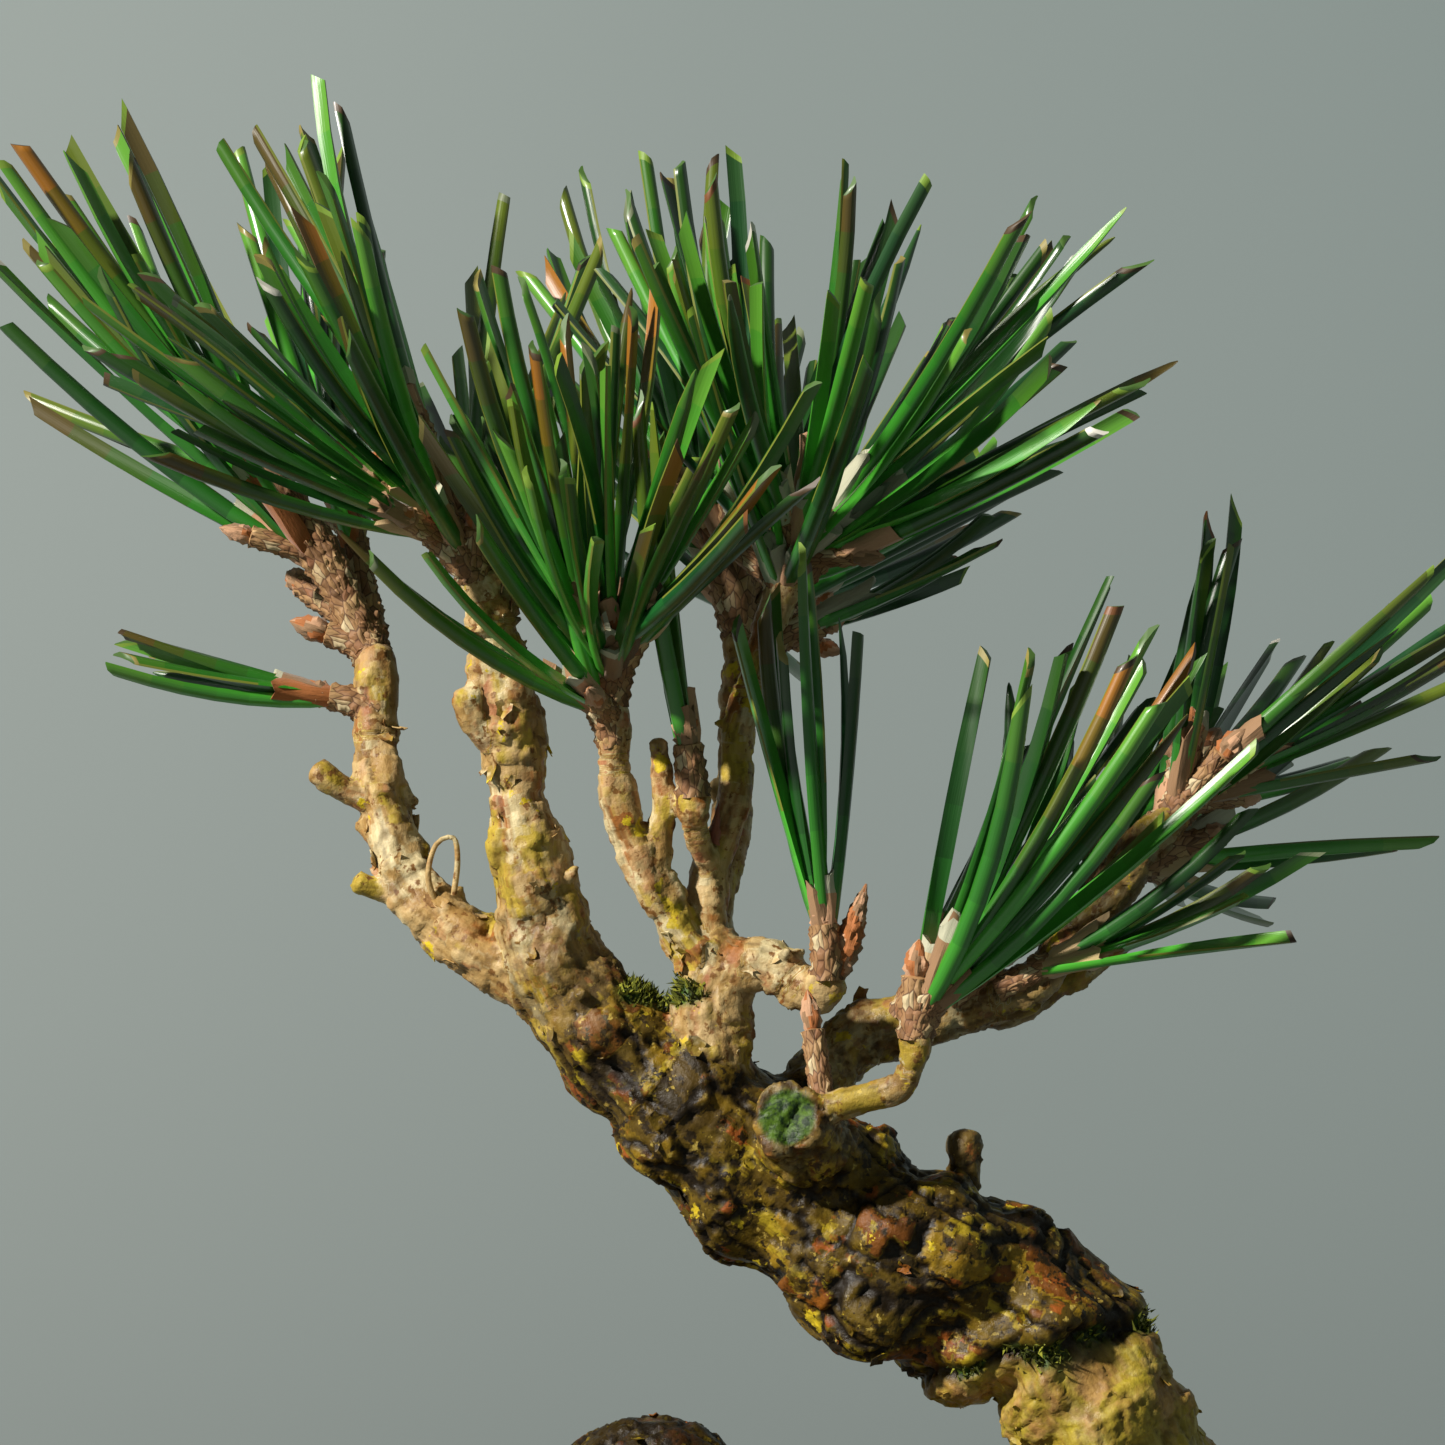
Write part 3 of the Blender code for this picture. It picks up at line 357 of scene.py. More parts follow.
# Each limb is a smooth curve through (x, y, z, radius). The first point of a bough
# lies inside the limb that carries it. lump is the depth of the swellings, knobs the
# number of knobs and stubs the dead or cut side twigs. step is the length of a row on
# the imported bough, and a mass of needles grows on from the last of them.
LIMBS = {
    "trunk_foot": dict(
        lump=0.05, seed=3, knobs=60,
        points=[(-3.0, 0.0, TRUNK_CUT, 12.0), (-3.0, 0.0, 35.0, 10.9),
                (-3.2, 0.0, 41.0, 9.9), (-3.2, 0.0, 50.0, 9.2),
                (-2.8, 0.0, 58.5, 8.6), (-2.4, 0.0, 63.2, 7.4),
                (-2.3, 0.0, 66.2, 4.6), (-2.3, 0.0, 67.4, 1.6)]),
    "trunk_bend": dict(
        lump=0.05, seed=5, knobs=70,
        points=[(-3.0, 0.0, 53.4, 8.0), (6.0, 0.3, 53.4, 8.0), (15.0, 0.8, 49.6, 7.6),
                (24.0, 1.0, 46.0, 7.3), (31.6, 0.8, 45.8, 7.0), (36.8, 0.5, 49.0, 6.8),
                (38.4, 0.3, 53.8, 6.6)]),
    "trunk_top": dict(
        lump=0.05, seed=7, knobs=90,
        points=[(38.2, 0.3, 52.2, 6.3), (37.7, 0.1, 57.0, 6.3), (35.6, 0.0, 61.4, 6.0),
                (32.8, 0.0, 65.6, 5.7), (30.4, 0.0, 69.6, 5.5), (27.6, 0.0, 73.6, 6.3),
                (22.2, 0.0, 76.5, 7.0), (17.2, 0.0, 78.7, 7.0), (12.9, 0.0, 81.5, 6.2),
                (8.4, 0.0, 84.9, 6.0), (3.8, 0.0, 88.4, 5.7), (0.2, 0.0, 91.2, 5.4)],
        stubs=[[(21.0, -0.5, 82.0, 1.5), (21.2, -0.6, 85.6, 1.1), (21.5, -0.6, 88.4, 1.2)]]),
    "bough_left": dict(
        step=2.8, lump=0.06, seed=11,
        points=[(1.4, 0.0, 90.2, 4.7), (-4.4, -0.5, 94.9, 4.6), (-8.3, -1.0, 100.0, 3.8),
                (-10.1, -1.2, 105.0, 3.2), (-11.2, -1.4, 109.6, 2.9),
                (-12.0, -1.6, 113.8, 2.4), (-12.5, -1.8, 118.0, 2.3),
                (-13.1, -2.0, 122.4, 2.4), (-14.2, -2.4, 127.6, 1.9)],
        stubs=[[(-13.0, -2.2, 117.6, 1.3), (-15.2, -3.0, 119.6, 1.1), (-15.9, -3.4, 121.6, 1.1)]]),
    "bough_outer": dict(
        step=2.8, lump=0.07, seed=13,
        points=[(-9.4, -0.6, 99.6, 2.5), (-14.6, 1.0, 102.2, 2.4), (-17.9, 2.2, 104.5, 2.2),
                (-20.6, 3.6, 107.9, 2.1), (-22.2, 5.0, 112.2, 1.95), (-22.9, 6.3, 116.0, 1.8),
                (-23.1, 7.1, 119.0, 1.6)],
        stubs=[[(-22.2, 5.2, 113.0, 1.2), (-25.4, 4.9, 114.4, 1.0), (-27.6, 4.6, 116.0, 1.1)],
               [(-20.4, 3.4, 106.6, 1.1), (-22.8, 2.8, 106.9, 0.95), (-24.4, 2.4, 107.6, 1.0)]]),
    "bough_fork": dict(
        lump=0.06, seed=17,
        points=[(3.2, -0.6, 90.2, 3.6), (2.4, -1.6, 95.2, 3.1), (2.6, -1.9, 99.0, 2.7),
                (3.6, -1.9, 101.8, 2.3)]),
    "bough_inner_left": dict(
        step=2.6, lump=0.08, seed=19,
        points=[(2.8, -1.9, 100.0, 1.8), (0.5, -2.2, 103.2, 1.65), (-1.7, -2.4, 106.8, 1.55),
                (-3.8, -2.8, 111.4, 1.45), (-4.8, -3.1, 114.6, 1.3), (-4.9, -3.3, 117.0, 1.2)],
        stubs=[[(-2.0, -2.5, 107.4, 1.0), (-1.2, -3.0, 112.6, 1.05), (-1.6, -3.2, 118.2, 0.8)]]),
    "bough_inner_right": dict(
        step=2.6, lump=0.08, seed=23,
        points=[(3.2, -1.6, 100.4, 1.7), (2.1, -0.8, 104.6, 1.5), (2.5, -0.3, 109.0, 1.4),
                (4.3, 0.2, 114.4, 1.25), (4.2, 0.7, 118.2, 1.2), (5.4, 1.2, 122.6, 1.1)]),
    "bough_low": dict(
        step=2.0, lump=0.08, seed=27,
        points=[(2.5, -0.4, 108.4, 1.0), (1.6, -2.4, 110.0, 0.95), (1.2, -3.6, 112.0, 0.9)]),
    "bough_short": dict(
        step=2.4, lump=0.08, seed=29,
        points=[(3.4, -2.0, 101.0, 1.9), (6.6, -2.6, 101.4, 1.85), (9.2, -3.6, 99.8, 1.5)]),
    "bough_back": dict(
        step=2.8, lump=0.07, seed=31,
        points=[(2.6, -0.8, 97.4, 1.8), (2.6, 4.2, 100.0, 1.7), (2.8, 8.8, 105.4, 1.5),
                (3.8, 12.8, 111.4, 1.4), (4.4, 16.6, 120.2, 1.2)]),
    "bough_right": dict(
        step=2.8, lump=0.08, seed=37,
        points=[(8.0, 1.6, 86.6, 3.0), (10.4, 4.6, 92.2, 2.8), (14.0, 6.2, 95.6, 2.4),
                (19.4, 6.0, 97.4, 2.0), (25.0, 4.9, 98.8, 1.7)],
        stubs=[[(20.8, 6.0, 97.2, 1.3), (26.6, 8.8, 98.2, 1.15), (34.6, 10.6, 102.8, 0.8)]]),
    "front_stub": dict(
        lump=0.04, seed=41,
        points=[(10.0, -1.0, 86.4, 3.2), (8.9, -6.6, 89.2, 2.9), (7.9, -10.8, 90.7, 2.7)]),
    "front_twig": dict(
        step=2.4, lump=0.08, seed=43,
        points=[(8.6, -8.6, 90.4, 1.2), (12.8, -10.6, 91.8, 1.1), (16.0, -11.8, 92.8, 1.05),
                (16.8, -12.4, 94.4, 1.0)]),
}
NUMBER = {name: number for number, name in enumerate(LIMBS)}
print(len(LIMBS), "limbs")

# %% [markdown]
# A limb passes through its points without a corner, as wood grows, and a Catmull-Rom
# curve does that from four neighbouring points at a time. A frame that is carried along
# the curve keeps each ring from twisting against the one before. The swellings, the root
# flare and the knobs are formulas of the place along and round the limb, so the same
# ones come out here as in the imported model.

# %% Curves and their frames
def unit(vector):
    """The vector, made one long."""
    return vector / np.linalg.norm(vector)


def smooth_rows(points, step):
    """Rows read from a smooth curve through the points, about one for each step."""
    points = np.asarray(points, float)
    padded = np.vstack([2 * points[0] - points[1], points, 2 * points[-1] - points[-2]])
    rows = [points[0]]
    for i in range(len(points) - 1):
        before, start, end, after = padded[i:i + 4]
        count = max(1, round(np.linalg.norm((end - start)[:3]) / step))
        for k in range(1, count + 1):
            t = k / count
            rows.append(0.5 * (2 * start + (end - before) * t
                               + (2 * before - 5 * start + 4 * end - after) * t ** 2
                               + (3 * start - before - 3 * end + after) * t ** 3))
    return np.array(rows)


def run_along(centres):
    """Distance along the curve at each row."""
    return np.concatenate([[0.0], np.cumsum(np.linalg.norm(np.diff(centres, axis=0), axis=1))])


def frames_along(centres):
    """The direction of the curve at each row, and two directions square to it."""
    steps = np.diff(centres, axis=0)
    along = np.vstack([steps[:1], steps[:-1] + steps[1:], steps[-1:]])
    along = along / np.linalg.norm(along, axis=1)[:, None]
    side = unit(np.cross(along[0], (0.31, 0.95, 0.05)))
    sides = []
    for direction in along:
        side = unit(side - direction * (side @ direction))
        sides.append(side)
    sides = np.array(sides)
    return along, sides, np.cross(along, sides)


def rings_round(centres, across, up, angle, radius):
    """Rings of points: centre + radius x (cos, sin) of the angle in each row's frame."""
    return centres[:, None] + radius[..., None] * (np.cos(angle)[None, :, None] * across[:, None]
                                                   + np.sin(angle)[None, :, None] * up[:, None])


left_rows = smooth_rows(LIMBS["bough_left"]["points"], LIMBS["bough_left"]["step"])
print("the left bough is", round(run_along(left_rows[:, :3])[-1], 1), "mm long")


# %% Swellings, flare and knobs
def lump_factor(seed, depth, run, angle):
    """Swellings of a limb, as a factor on its radius at a distance along and round it."""
    rng = np.random.default_rng(seed)
    total = 0.0
    for _ in range(LUMP_WAVES):
        length = rng.uniform(*LUMP_LENGTH)
        lobes = rng.integers(1, LUMP_LOBES + 1)
        phase = rng.uniform(0.0, 2 * math.pi, 2)
        wave = np.sin(2 * math.pi * run / length + phase[0])
        total = total + wave * np.cos(lobes * angle + phase[1])
    return 1.0 + depth * total


def flare_factor(height, angle):
    """Root flare: buttresses that widen the trunk just above the soil."""
    rise = np.clip((TRUNK_CUT + FLARE_HEIGHT - height) / FLARE_HEIGHT, 0.0, 1.0) ** 1.6
    return 1.0 + rise * (FLARE_WIDENING + BUTTRESS_DEPTH * np.cos(BUTTRESSES * angle + 0.6))


def knob_rise(seed, knobs, run, angle, radius):
    """How far the knobs of old bark stand out: round bumps at places along and round it."""
    rng = np.random.default_rng(seed + knobs)
    total = np.zeros(np.broadcast_shapes(run.shape, angle.shape)) - KNOB_SINK * (knobs > 0)
    for _ in range(knobs):
        place, turn = rng.uniform(0.0, run.max()), rng.uniform(0.0, 2 * math.pi)
        height, width = rng.uniform(*KNOB_HEIGHT), rng.uniform(*KNOB_WIDTH)
        aside = radius * ((angle - turn + math.pi) % (2 * math.pi) - math.pi)
        total += height * np.exp(-((run - place) ** 2 + aside ** 2) / width ** 2)
    return total * np.clip(radius / KNOB_FULL_RADIUS, 0.0, 1.0)


print(sum(spec.get("knobs", 0) for spec in LIMBS.values()), "knobs on the trunk")


# %% [markdown]
# A pine's needles stand in pairs on the last stretch of each shoot, by the golden angle
# round it, and lean out from it. That is a rule, so the needles are grown, not placed by
# hand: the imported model's rule and its seeds give the same pairs here. A pair is tried
# again at a new angle where it would touch a limb or another pair.

# %% Needle sizes
# The two needles of a fascicle, as botanists call a pair with its sheath, face each
# other with their flat sides, a little apart, and open by an angle in degrees.
NEEDLE_WIDTH = 1.35
NEEDLE_DEPTH = 0.8
NEEDLE_LENGTH = (25.0, 31.0)
PAIR_OFFSET = 0.15
PAIR_OPENING = (1.5, 7.0)

# Fascicles stand on the last stretch of a shoot, by the golden angle round it, and
# lean out from its axis by the fan's two angles, the first at the tip.
NEEDLE_ZONE = 7.5
BARE_FOOT = 3.2
FAN = (5.0, 30.0)
FAN_SPREAD = 0.12
GOLDEN_ANGLE = 137.508

# Stems and shoots: radius at the foot and at the tip, and how far a shoot leaves
# along its stem before it bends to its own direction.
TWIG_RADIUS = (1.45, 1.05)
STEM_STEP = 2.2
STEM_FOOT = 0.8
STEM_TAPER = 0.8
SHOOT_STEP = 5.0
SHOOT_BEND = 0.45
SHOOT_FOLLOW = 0.5
SHOOT_SPREAD = 3.0

# A needle keeps these clearances to limbs and twigs, to the needles of other masses
# and, over its outer part, to the needles of its own mass. It is tried again at an
# angle that strays further each time. Limbs count as wider by their swellings.
CLEAR_OF_LIMB = 0.4
CLEAR_OF_NEEDLE = 0.35
OWN_CLEARANCE = -0.3
OUTER_PART = 0.4
REACH = 48.0
TRIES = 14
STRAY = (6.0, 5.0)
LIMB_STEP = 2.5
LIMB_SWELLING = 3.0

# A mass has one seed. These are added to it, so that each step draws numbers of its own:
# its needles, its spurs, the further pairs, and the colours and sheaths.
NEEDLE_DRAWS, SPUR_DRAWS, EXTRA_DRAWS, DRESS_DRAWS = 1000, 2000, 3000, 5000

# Gaps in the crown that show sky from the front, each (x, z, x, z, radius): a stretch
# between two points at the trunk's depth, and how far round it stays open. No needle
# crosses one of them as seen from the eye, which is at arm's length in front.
SKY = [
    (-36.4, 161.4, -33.1, 152.0, 1.1),
    (-22.1, 164.8, -18.6, 152.0, 2.1),
    (-17.1, 166.6, -15.8, 156.5, 1.5),
    (8.7, 166.2, 8.7, 151.2, 0.7),
    (21.6, 159.1, 18.8, 151.2, 1.1),
    (37.1, 152.0, 31.5, 146.4, 1.8),
    (37.5, 141.5, 31.1, 138.5, 1.6),
    (24.8, 129.9, 35.2, 137.8, 2.1),
    (21.0, 126.9, 27.4, 128.4, 1.6),
    (35.2, 137.8, 36.0, 128.8, 1.6),
    (45.9, 136.2, 43.6, 128.8, 2.1),
    (53.4, 134.0, 49.1, 127.6, 1.6),
    (54.0, 112.6, 43.9, 111.7, 0.8),
    (55.9, 106.6, 48.0, 107.4, 1.8),
    (54.0, 99.9, 48.8, 102.5, 1.9),
    (-49.9, 140.8, -42.8, 137.6, 0.9),
    (-49.9, 131.2, -36.8, 127.8, 1.1),
    (-46.5, 120.9, -28.5, 119.6, 1.3),
    (16.9, 125.8, 16.5, 110.0, 0.9),
    (-26.2, 128.8, -33.0, 127.6, 0.6),
]
EYE = (3.2, -450.0, 119.6)
print(len(SKY), "gaps that show sky")

# %% Masses of needles
# Each mass: the bough it grows on, its stem's later points and its shoots. A shoot
# is (place along the stem, turn, lean, length, fascicles): turn is its angle in the
# front view, from right through up, and lean its angle towards the back, in degrees.
# A sixth value scales the length of the shoot's needles.
MASSES = {
    "needles_front": dict(
        bough="bough_short", seed=11, fan=(4.0, 11.0), length=(23.0, 31.0),
        stem=[(10.5, -4.3, 99.2), (10.9, -4.8, 100.6)],
        shoots=[(1.0, 96, -4, 4.0, 7)]),
    "needles_right_front": dict(
        bough="front_twig", seed=24, fan=(3.0, 14.0), length=(25.0, 32.0),
        stem=[(17.2, -12.8, 96.6)],
        shoots=[(1.0, 48, -4, 5.0, 3), (1.0, 66, -10, 5.0, 3), (0.8, 88, -6, 4.5, 3)]),
    "needles_low": dict(
        bough="bough_low", seed=31, fan=(2.0, 8.0), length=(24.0, 28.0),
        stem=[(1.0, -4.0, 114.0)],
        shoots=[(1.0, 98, -6, 4.0, 3)]),
    "needles_centre": dict(
        bough="bough_inner_left", seed=46, fan=(6.0, 28.0), length=(22.0, 28.0),
        stem=[(-5.2, -3.9, 121.4)],
        shoots=[(0.3, 118, -24, 4.0, 3), (1.0, 112, -32, 7.0, 4), (1.0, 88, -38, 6.5, 4),
                (0.9, 58, -32, 6.0, 3), (1.0, 98, 12, 9.0, 5)]),
    "needles_left_front": dict(
        bough="bough_left", seed=51, fan=(5.0, 25.0), length=(26.0, 32.0),
        stem=[(-15.2, -2.9, 130.6)],
        shoots=[(0.8, 146, -12, 10.0, 7, 0.85), (1.0, 122, -28, 9.0, 7, 0.85),
                (1.0, 84, -26, 4.0, 5, 0.95), (1.0, 114, 12, 13.0, 8), (1.0, 84, 44, 6.0, 6)]),
    "needles_top": dict(
        bough="bough_inner_right", seed=64,
        stem=[(7.0, 1.7, 127.0), (8.4, 2.1, 131.0)],
        shoots=[(1.0, 84, -8, 5.0, 5), (1.0, 54, -18, 8.0, 6), (0.9, 36, -6, 8.0, 4),
                (0.9, 114, 6, 7.0, 5), (0.3, 16, 24, 5.0, 3, 0.65), (1.0, 102, -40, 5.0, 4),
                (1.0, 66, 44, 6.0, 5)]),
    "needles_right": dict(
        bough="bough_right", seed=72, fan=(4.0, 20.0), length=(18.0, 25.0),
        stem=[(29.0, 4.2, 102.6), (33.8, 3.3, 108.4), (37.4, 2.6, 112.8)],
        shoots=[(1.0, 102, 2, 4.0, 2), (1.0, 84, -2, 6.0, 3), (1.0, 56, -20, 6.0, 3),
                (1.0, 30, 2, 7.0, 5), (0.65, 14, 26, 7.0, 3), (0.9, 60, 46, 9.0, 4),
                (0.5, 66, 50, 8.0, 3)]),
    "needles_left_outer": dict(
        bough="bough_outer", seed=85, fan=(4.0, 22.0), length=(26.0, 33.0),
        stem=[(-23.6, 9.0, 124.6)],
        shoots=[(1.0, 120, 4, 20.0, 8), (1.0, 132, 2, 15.0, 7), (0.9, 162, 0, 4.0, 4, 0.92),
                (0.3, 166, -4, 4.0, 3, 0.55), (1.0, 106, 34, 16.0, 6),
                (0.9, 144, 46, 11.0, 6, 0.9)]),
    "needles_back": dict(
        bough="bough_back", seed=94,
        stem=[(4.6, 19.0, 126.0)],
        shoots=[(1.0, 96, 50, 9.0, 6), (0.9, 26, 34, 8.0, 4), (1.0, 112, 22, 15.0, 6),
                (1.0, 94, 8, 11.0, 4), (0.9, 60, 70, 8.0, 6)]),
}
print(len(MASSES), "masses of needles")

# %% Directions and distances
def aim(turn, lean):
    """Direction of a shoot from its angle in the front view and its lean to the back."""
    turn, lean = math.radians(turn), math.radians(lean)
    return np.array([math.cos(lean) * math.cos(turn), math.sin(lean),
                     math.cos(lean) * math.sin(turn)])


def tilted(axis, polar, around):
    """The axis tipped by a polar angle towards the direction at an angle round it."""
    side = unit(np.cross(axis, (0.2, 0.9, 0.4)))
    other = np.cross(axis, side)
    polar, around = math.radians(polar), math.radians(around)
    return (axis * math.cos(polar)
            + (side * math.cos(around) + other * math.sin(around)) * math.sin(polar))


def segment_gaps(start, end, starts, ends):
    """Shortest distance from one straight segment to each of many others."""
    along, many, offset = end - start, ends - starts, start - starts
    length = along @ along
    lengths = np.maximum((many * many).sum(1), 1e-9)
    cross, reach, near = many @ along, (many * offset).sum(1), offset @ along
    spread = np.maximum(length * lengths - cross * cross, 1e-9)
    first = np.clip((cross * reach - near * lengths) / spread, 0.0, 1.0)
    second = np.clip((cross * first + reach) / lengths, 0.0, 1.0)
    first = np.clip((cross * second - near) / length, 0.0, 1.0)
    return np.linalg.norm(offset + first[:, None] * along - second[:, None] * many, axis=1)


class Capsules:
    """Straight segments with a radius each, to keep needles clear of what is there."""

    def __init__(self):
        self.starts, self.ends, self.radii, self.owners = [], [], [], []

    def add(self, start, end, radius, owner):
        """Keep one segment and the name of what it belongs to."""
        self.starts.append(start)
        self.ends.append(end)
        self.radii.append(radius)
        self.owners.append(owner)

    def add_rows(self, rows, owner):
        """Keep the stretch between each two rows of a limb, as wide as its thicker end."""
        for first, second in zip(rows[:-1], rows[1:]):
            self.add(first[:3], second[:3], max(first[3], second[3]), owner)

    def clear(self, start, end, radius, gap, skip=None):
        """True where the segment stays a gap clear of all but the skipped owner."""
        chosen = [i for i, owner in enumerate(self.owners) if owner != skip]
        if not chosen:
            return True
        distance = segment_gaps(start, end, np.array(self.starts)[chosen],
                                np.array(self.ends)[chosen])
        return bool((distance - np.array(self.radii)[chosen] - radius > gap).all())


print("a shoot turned by 90 degrees points to", aim(90, 0).round(2))


# %% Stems and shoots
def limb_capsules():
    """Every limb and stub as segments, widened by its swellings."""
    found = Capsules()
    for name, spec in LIMBS.items():
        for points in [spec["points"]] + spec.get("stubs", []):
            rows = smooth_rows(points, LIMB_STEP)
            rows[:, 3] *= 1.0 + LIMB_SWELLING * spec["lump"]
            rows[:, 3] += KNOB_HEIGHT[1] - KNOB_SINK if "knobs" in spec else 0.0
            found.add_rows(rows, name)
    return found


def grow_twigs(spec):
    """A mass's stem and shoots, each as rows of x, y, z and radius."""
    bough = smooth_rows(LIMBS[spec["bough"]]["points"], LIMBS[spec["bough"]]["step"])
    outward = unit(bough[-1, :3] - bough[-2, :3])
    tip_radius = bough[-1, 3]
    foot = bough[-1, :3] + outward * GAP
    points = [foot, foot + outward * STEM_FOOT] + [np.array(point) for point in spec["stem"]]
    end_radius = max(tip_radius * STEM_TAPER, TWIG_RADIUS[0])
    radii = np.linspace(tip_radius, end_radius, len(points))
    stem = smooth_rows([(*point, radius) for point, radius in zip(points, radii)], STEM_STEP)
    rng = np.random.default_rng(spec["seed"])
    shoots = []
    for place, turn, lean, length, fascicles, *scale in spec["shoots"]:
        index = max(1, round(place * (len(stem) - 1)))
        axis = aim(turn + rng.normal(0.0, SHOOT_SPREAD), lean + rng.normal(0.0, SHOOT_SPREAD))
        leaving = unit(axis + SHOOT_FOLLOW * unit(stem[index, :3] - stem[index - 1, :3]))
        root = stem[index, :3]
        middle = root + leaving * length * SHOOT_BEND
        tip = middle + axis * length * (1.0 - SHOOT_BEND)
        rows = [(*root, TWIG_RADIUS[0]), (*middle, sum(TWIG_RADIUS) / 2), (*tip, TWIG_RADIUS[1])]
        path = np.vstack([tip, middle, stem[index::-1, :3]])
        needle_scale = scale[0] if scale else 1.0
        shoots.append((smooth_rows(rows, SHOOT_STEP), axis, path, fascicles, needle_scale))
    return stem, shoots


def point_along(path, distance):
    """The point at a distance along a path of straight stretches."""
    for start, end in zip(path[:-1], path[1:]):
        stretch = np.linalg.norm(end - start)
        if distance <= stretch:
            return start + (end - start) * distance / stretch
        distance -= stretch
    return path[-1]


print("segments of the limbs:", len(limb_capsules().radii))


# %% The rule of growth
def needle_pair(base, direction, opening, roll, lengths):
    """The two needles of a fascicle, each as (start, end, outward side)."""
    outward = tilted(direction, 90.0, roll)
    pair = []
    for sign, length in zip((-1, 1), lengths):
        heading = unit(direction + sign * math.tan(math.radians(opening)) * outward)
        start = base + sign * PAIR_OFFSET * outward
        pair.append((start, start + heading * length, sign * outward))
    return pair


def seen_from_front(point):
    """Where a point shows on the plane through the trunk, seen from the front."""
    return np.array(EYE) + (point - EYE) * EYE[1] / (EYE[1] - point[1])


def open_sky():
    """The gaps in the crown as flat segments on the plane through the trunk."""
    gaps = Capsules()
    for x, z, other_x, other_z, radius in SKY:
        gaps.add(np.array([x, 0.0, z]), np.array([other_x, 0.0, other_z]), radius, "sky")
    return gaps


def grow_needles(spec, name, shoots, limbs, twigs, needles, outer, sky):
    """Fascicles round each shoot. One that would leave the mass's reach, touch a limb,
    meet another needle or close a gap is tried again at a new angle, and in the end
    skipped."""
    rng = np.random.default_rng(spec["seed"] + NEEDLE_DRAWS)
    fan = spec.get("fan", FAN)
    low, high = spec.get("length", NEEDLE_LENGTH)
    half = NEEDLE_WIDTH / 2
    grown = []
    for rows, axis, path, fascicles, scale in shoots:
        phase = rng.uniform(0.0, 360.0)
        path_length = np.linalg.norm(np.diff(path, axis=0), axis=1).sum()
        zone = min(NEEDLE_ZONE, path_length - BARE_FOOT)
        for k in range(fascicles):
            share = (k + 0.5) / fascicles
            base = point_along(path, zone * (1.0 - share))
            for attempt in range(TRIES):
                polar = fan[1] + (fan[0] - fan[1]) * share
                polar += rng.normal(0.0, fan[1] * FAN_SPREAD)
                around = phase + GOLDEN_ANGLE * k
                around += rng.normal(0.0, STRAY[0] + STRAY[1] * attempt)
                direction = tilted(axis, abs(polar), around)
                pair = needle_pair(base, direction, rng.uniform(*PAIR_OPENING),
                                   rng.uniform(0.0, 360.0), scale * rng.uniform(low, high, 2))
                if all(np.linalg.norm(end - rows[0, :3]) < REACH
                       and limbs.clear(start, end, half, CLEAR_OF_LIMB)
                       and twigs.clear(start, end, half, CLEAR_OF_LIMB, skip=name)
                       and needles.clear(start, end, half, CLEAR_OF_NEEDLE, skip=name)
                       and outer.clear(start + (end - start) * OUTER_PART, end, half, OWN_CLEARANCE)
                       and sky.clear(seen_from_front(start), seen_from_front(end), half, 0.0)
                       for start, end, _ in pair):
                    break
            else:
                continue
            for start, end, outward in pair:
                grown.append((start, end, outward))
                needles.add(start, end, half, name)
                outer.add(start + (end - start) * OUTER_PART, end, half, name)
    return grown


print("tries for each pair:", TRIES)


# %% [markdown]
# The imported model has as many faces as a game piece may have, so its twigs stop early.
# The same rule now grows fine spurs low on the longer shoots, each with a pair or two of
# needles, and a few more pairs between the first ones. What would pass the box of its
# mass is left out, so the crown keeps its outline and the gaps that show sky.

# %% Grow the crown
EXTRA_SHARE = 0.16
# A spur leaves a shoot of at least this length, at a distance from the shoot's tip.
SPUR_FROM = 6.0
SPUR_PLACE = (4.0, 8.0)
SPUR_LENGTH = (3.9, 5.4)
SPUR_LEAN = (34.0, 52.0)
SPUR_RADIUS = (1.0, 0.8)
# Needles of the extra pairs, of spurs and of spurs on bare wood, as shares of the full length.
EXTRA_SCALE, SPUR_SCALE, LIMB_SPUR_SCALE = 0.92, 0.85, 0.95
BOX_SLACK = 0.4
# Spurs on bare wood: foot, turn and lean of the heading, length and pairs.
LIMB_SPURS = {
    "needles_right": [((16.5, 4.6, 97.4), 62, -16, 4.6, 3), ((20.5, 4.4, 98.6), 40, -22, 5.0, 3),
                      ((24.0, 3.6, 99.4), 26, -12, 5.0, 4), ((26.5, 3.2, 101.0), 12, -20, 4.6, 3),
                      ((22.6, 5.6, 99.6), 74, 8, 5.0, 3)],
    "needles_right_front": [((10.6, -9.2, 91.6), 98, 10, 5.4, 2)],
}

limbs, twigs, needles, outer, sky = limb_capsules(), Capsules(), Capsules(), Capsules(), open_sky()
frames = {name: grow_twigs(spec) for name, spec in MASSES.items()}
for name, (stem, shoots) in frames.items():
    twigs.add_rows(stem, name)
    for rows, *_ in shoots:
        twigs.add_rows(rows, name)
crown = {}
for name, spec in MASSES.items():
    grown = grow_needles(spec, name, frames[name][1], limbs, twigs, needles, outer, sky)
    crown[name] = (*frames[name], grown)
print("needles of the packed model:", sum(len(grown) for _, _, grown in crown.values()))


# %% Spurs and further pairs
def spur(root, heading, reach, fascicles, scale):
    """A spur in the form of a shoot: rows, axis, path from its tip down, pairs and scale."""
    tip = root + heading * reach
    rows = smooth_rows([(*root, SPUR_RADIUS[0]), (*tip, SPUR_RADIUS[1])], 1.0)
    return rows, heading, np.vstack([tip, root]), fascicles, scale


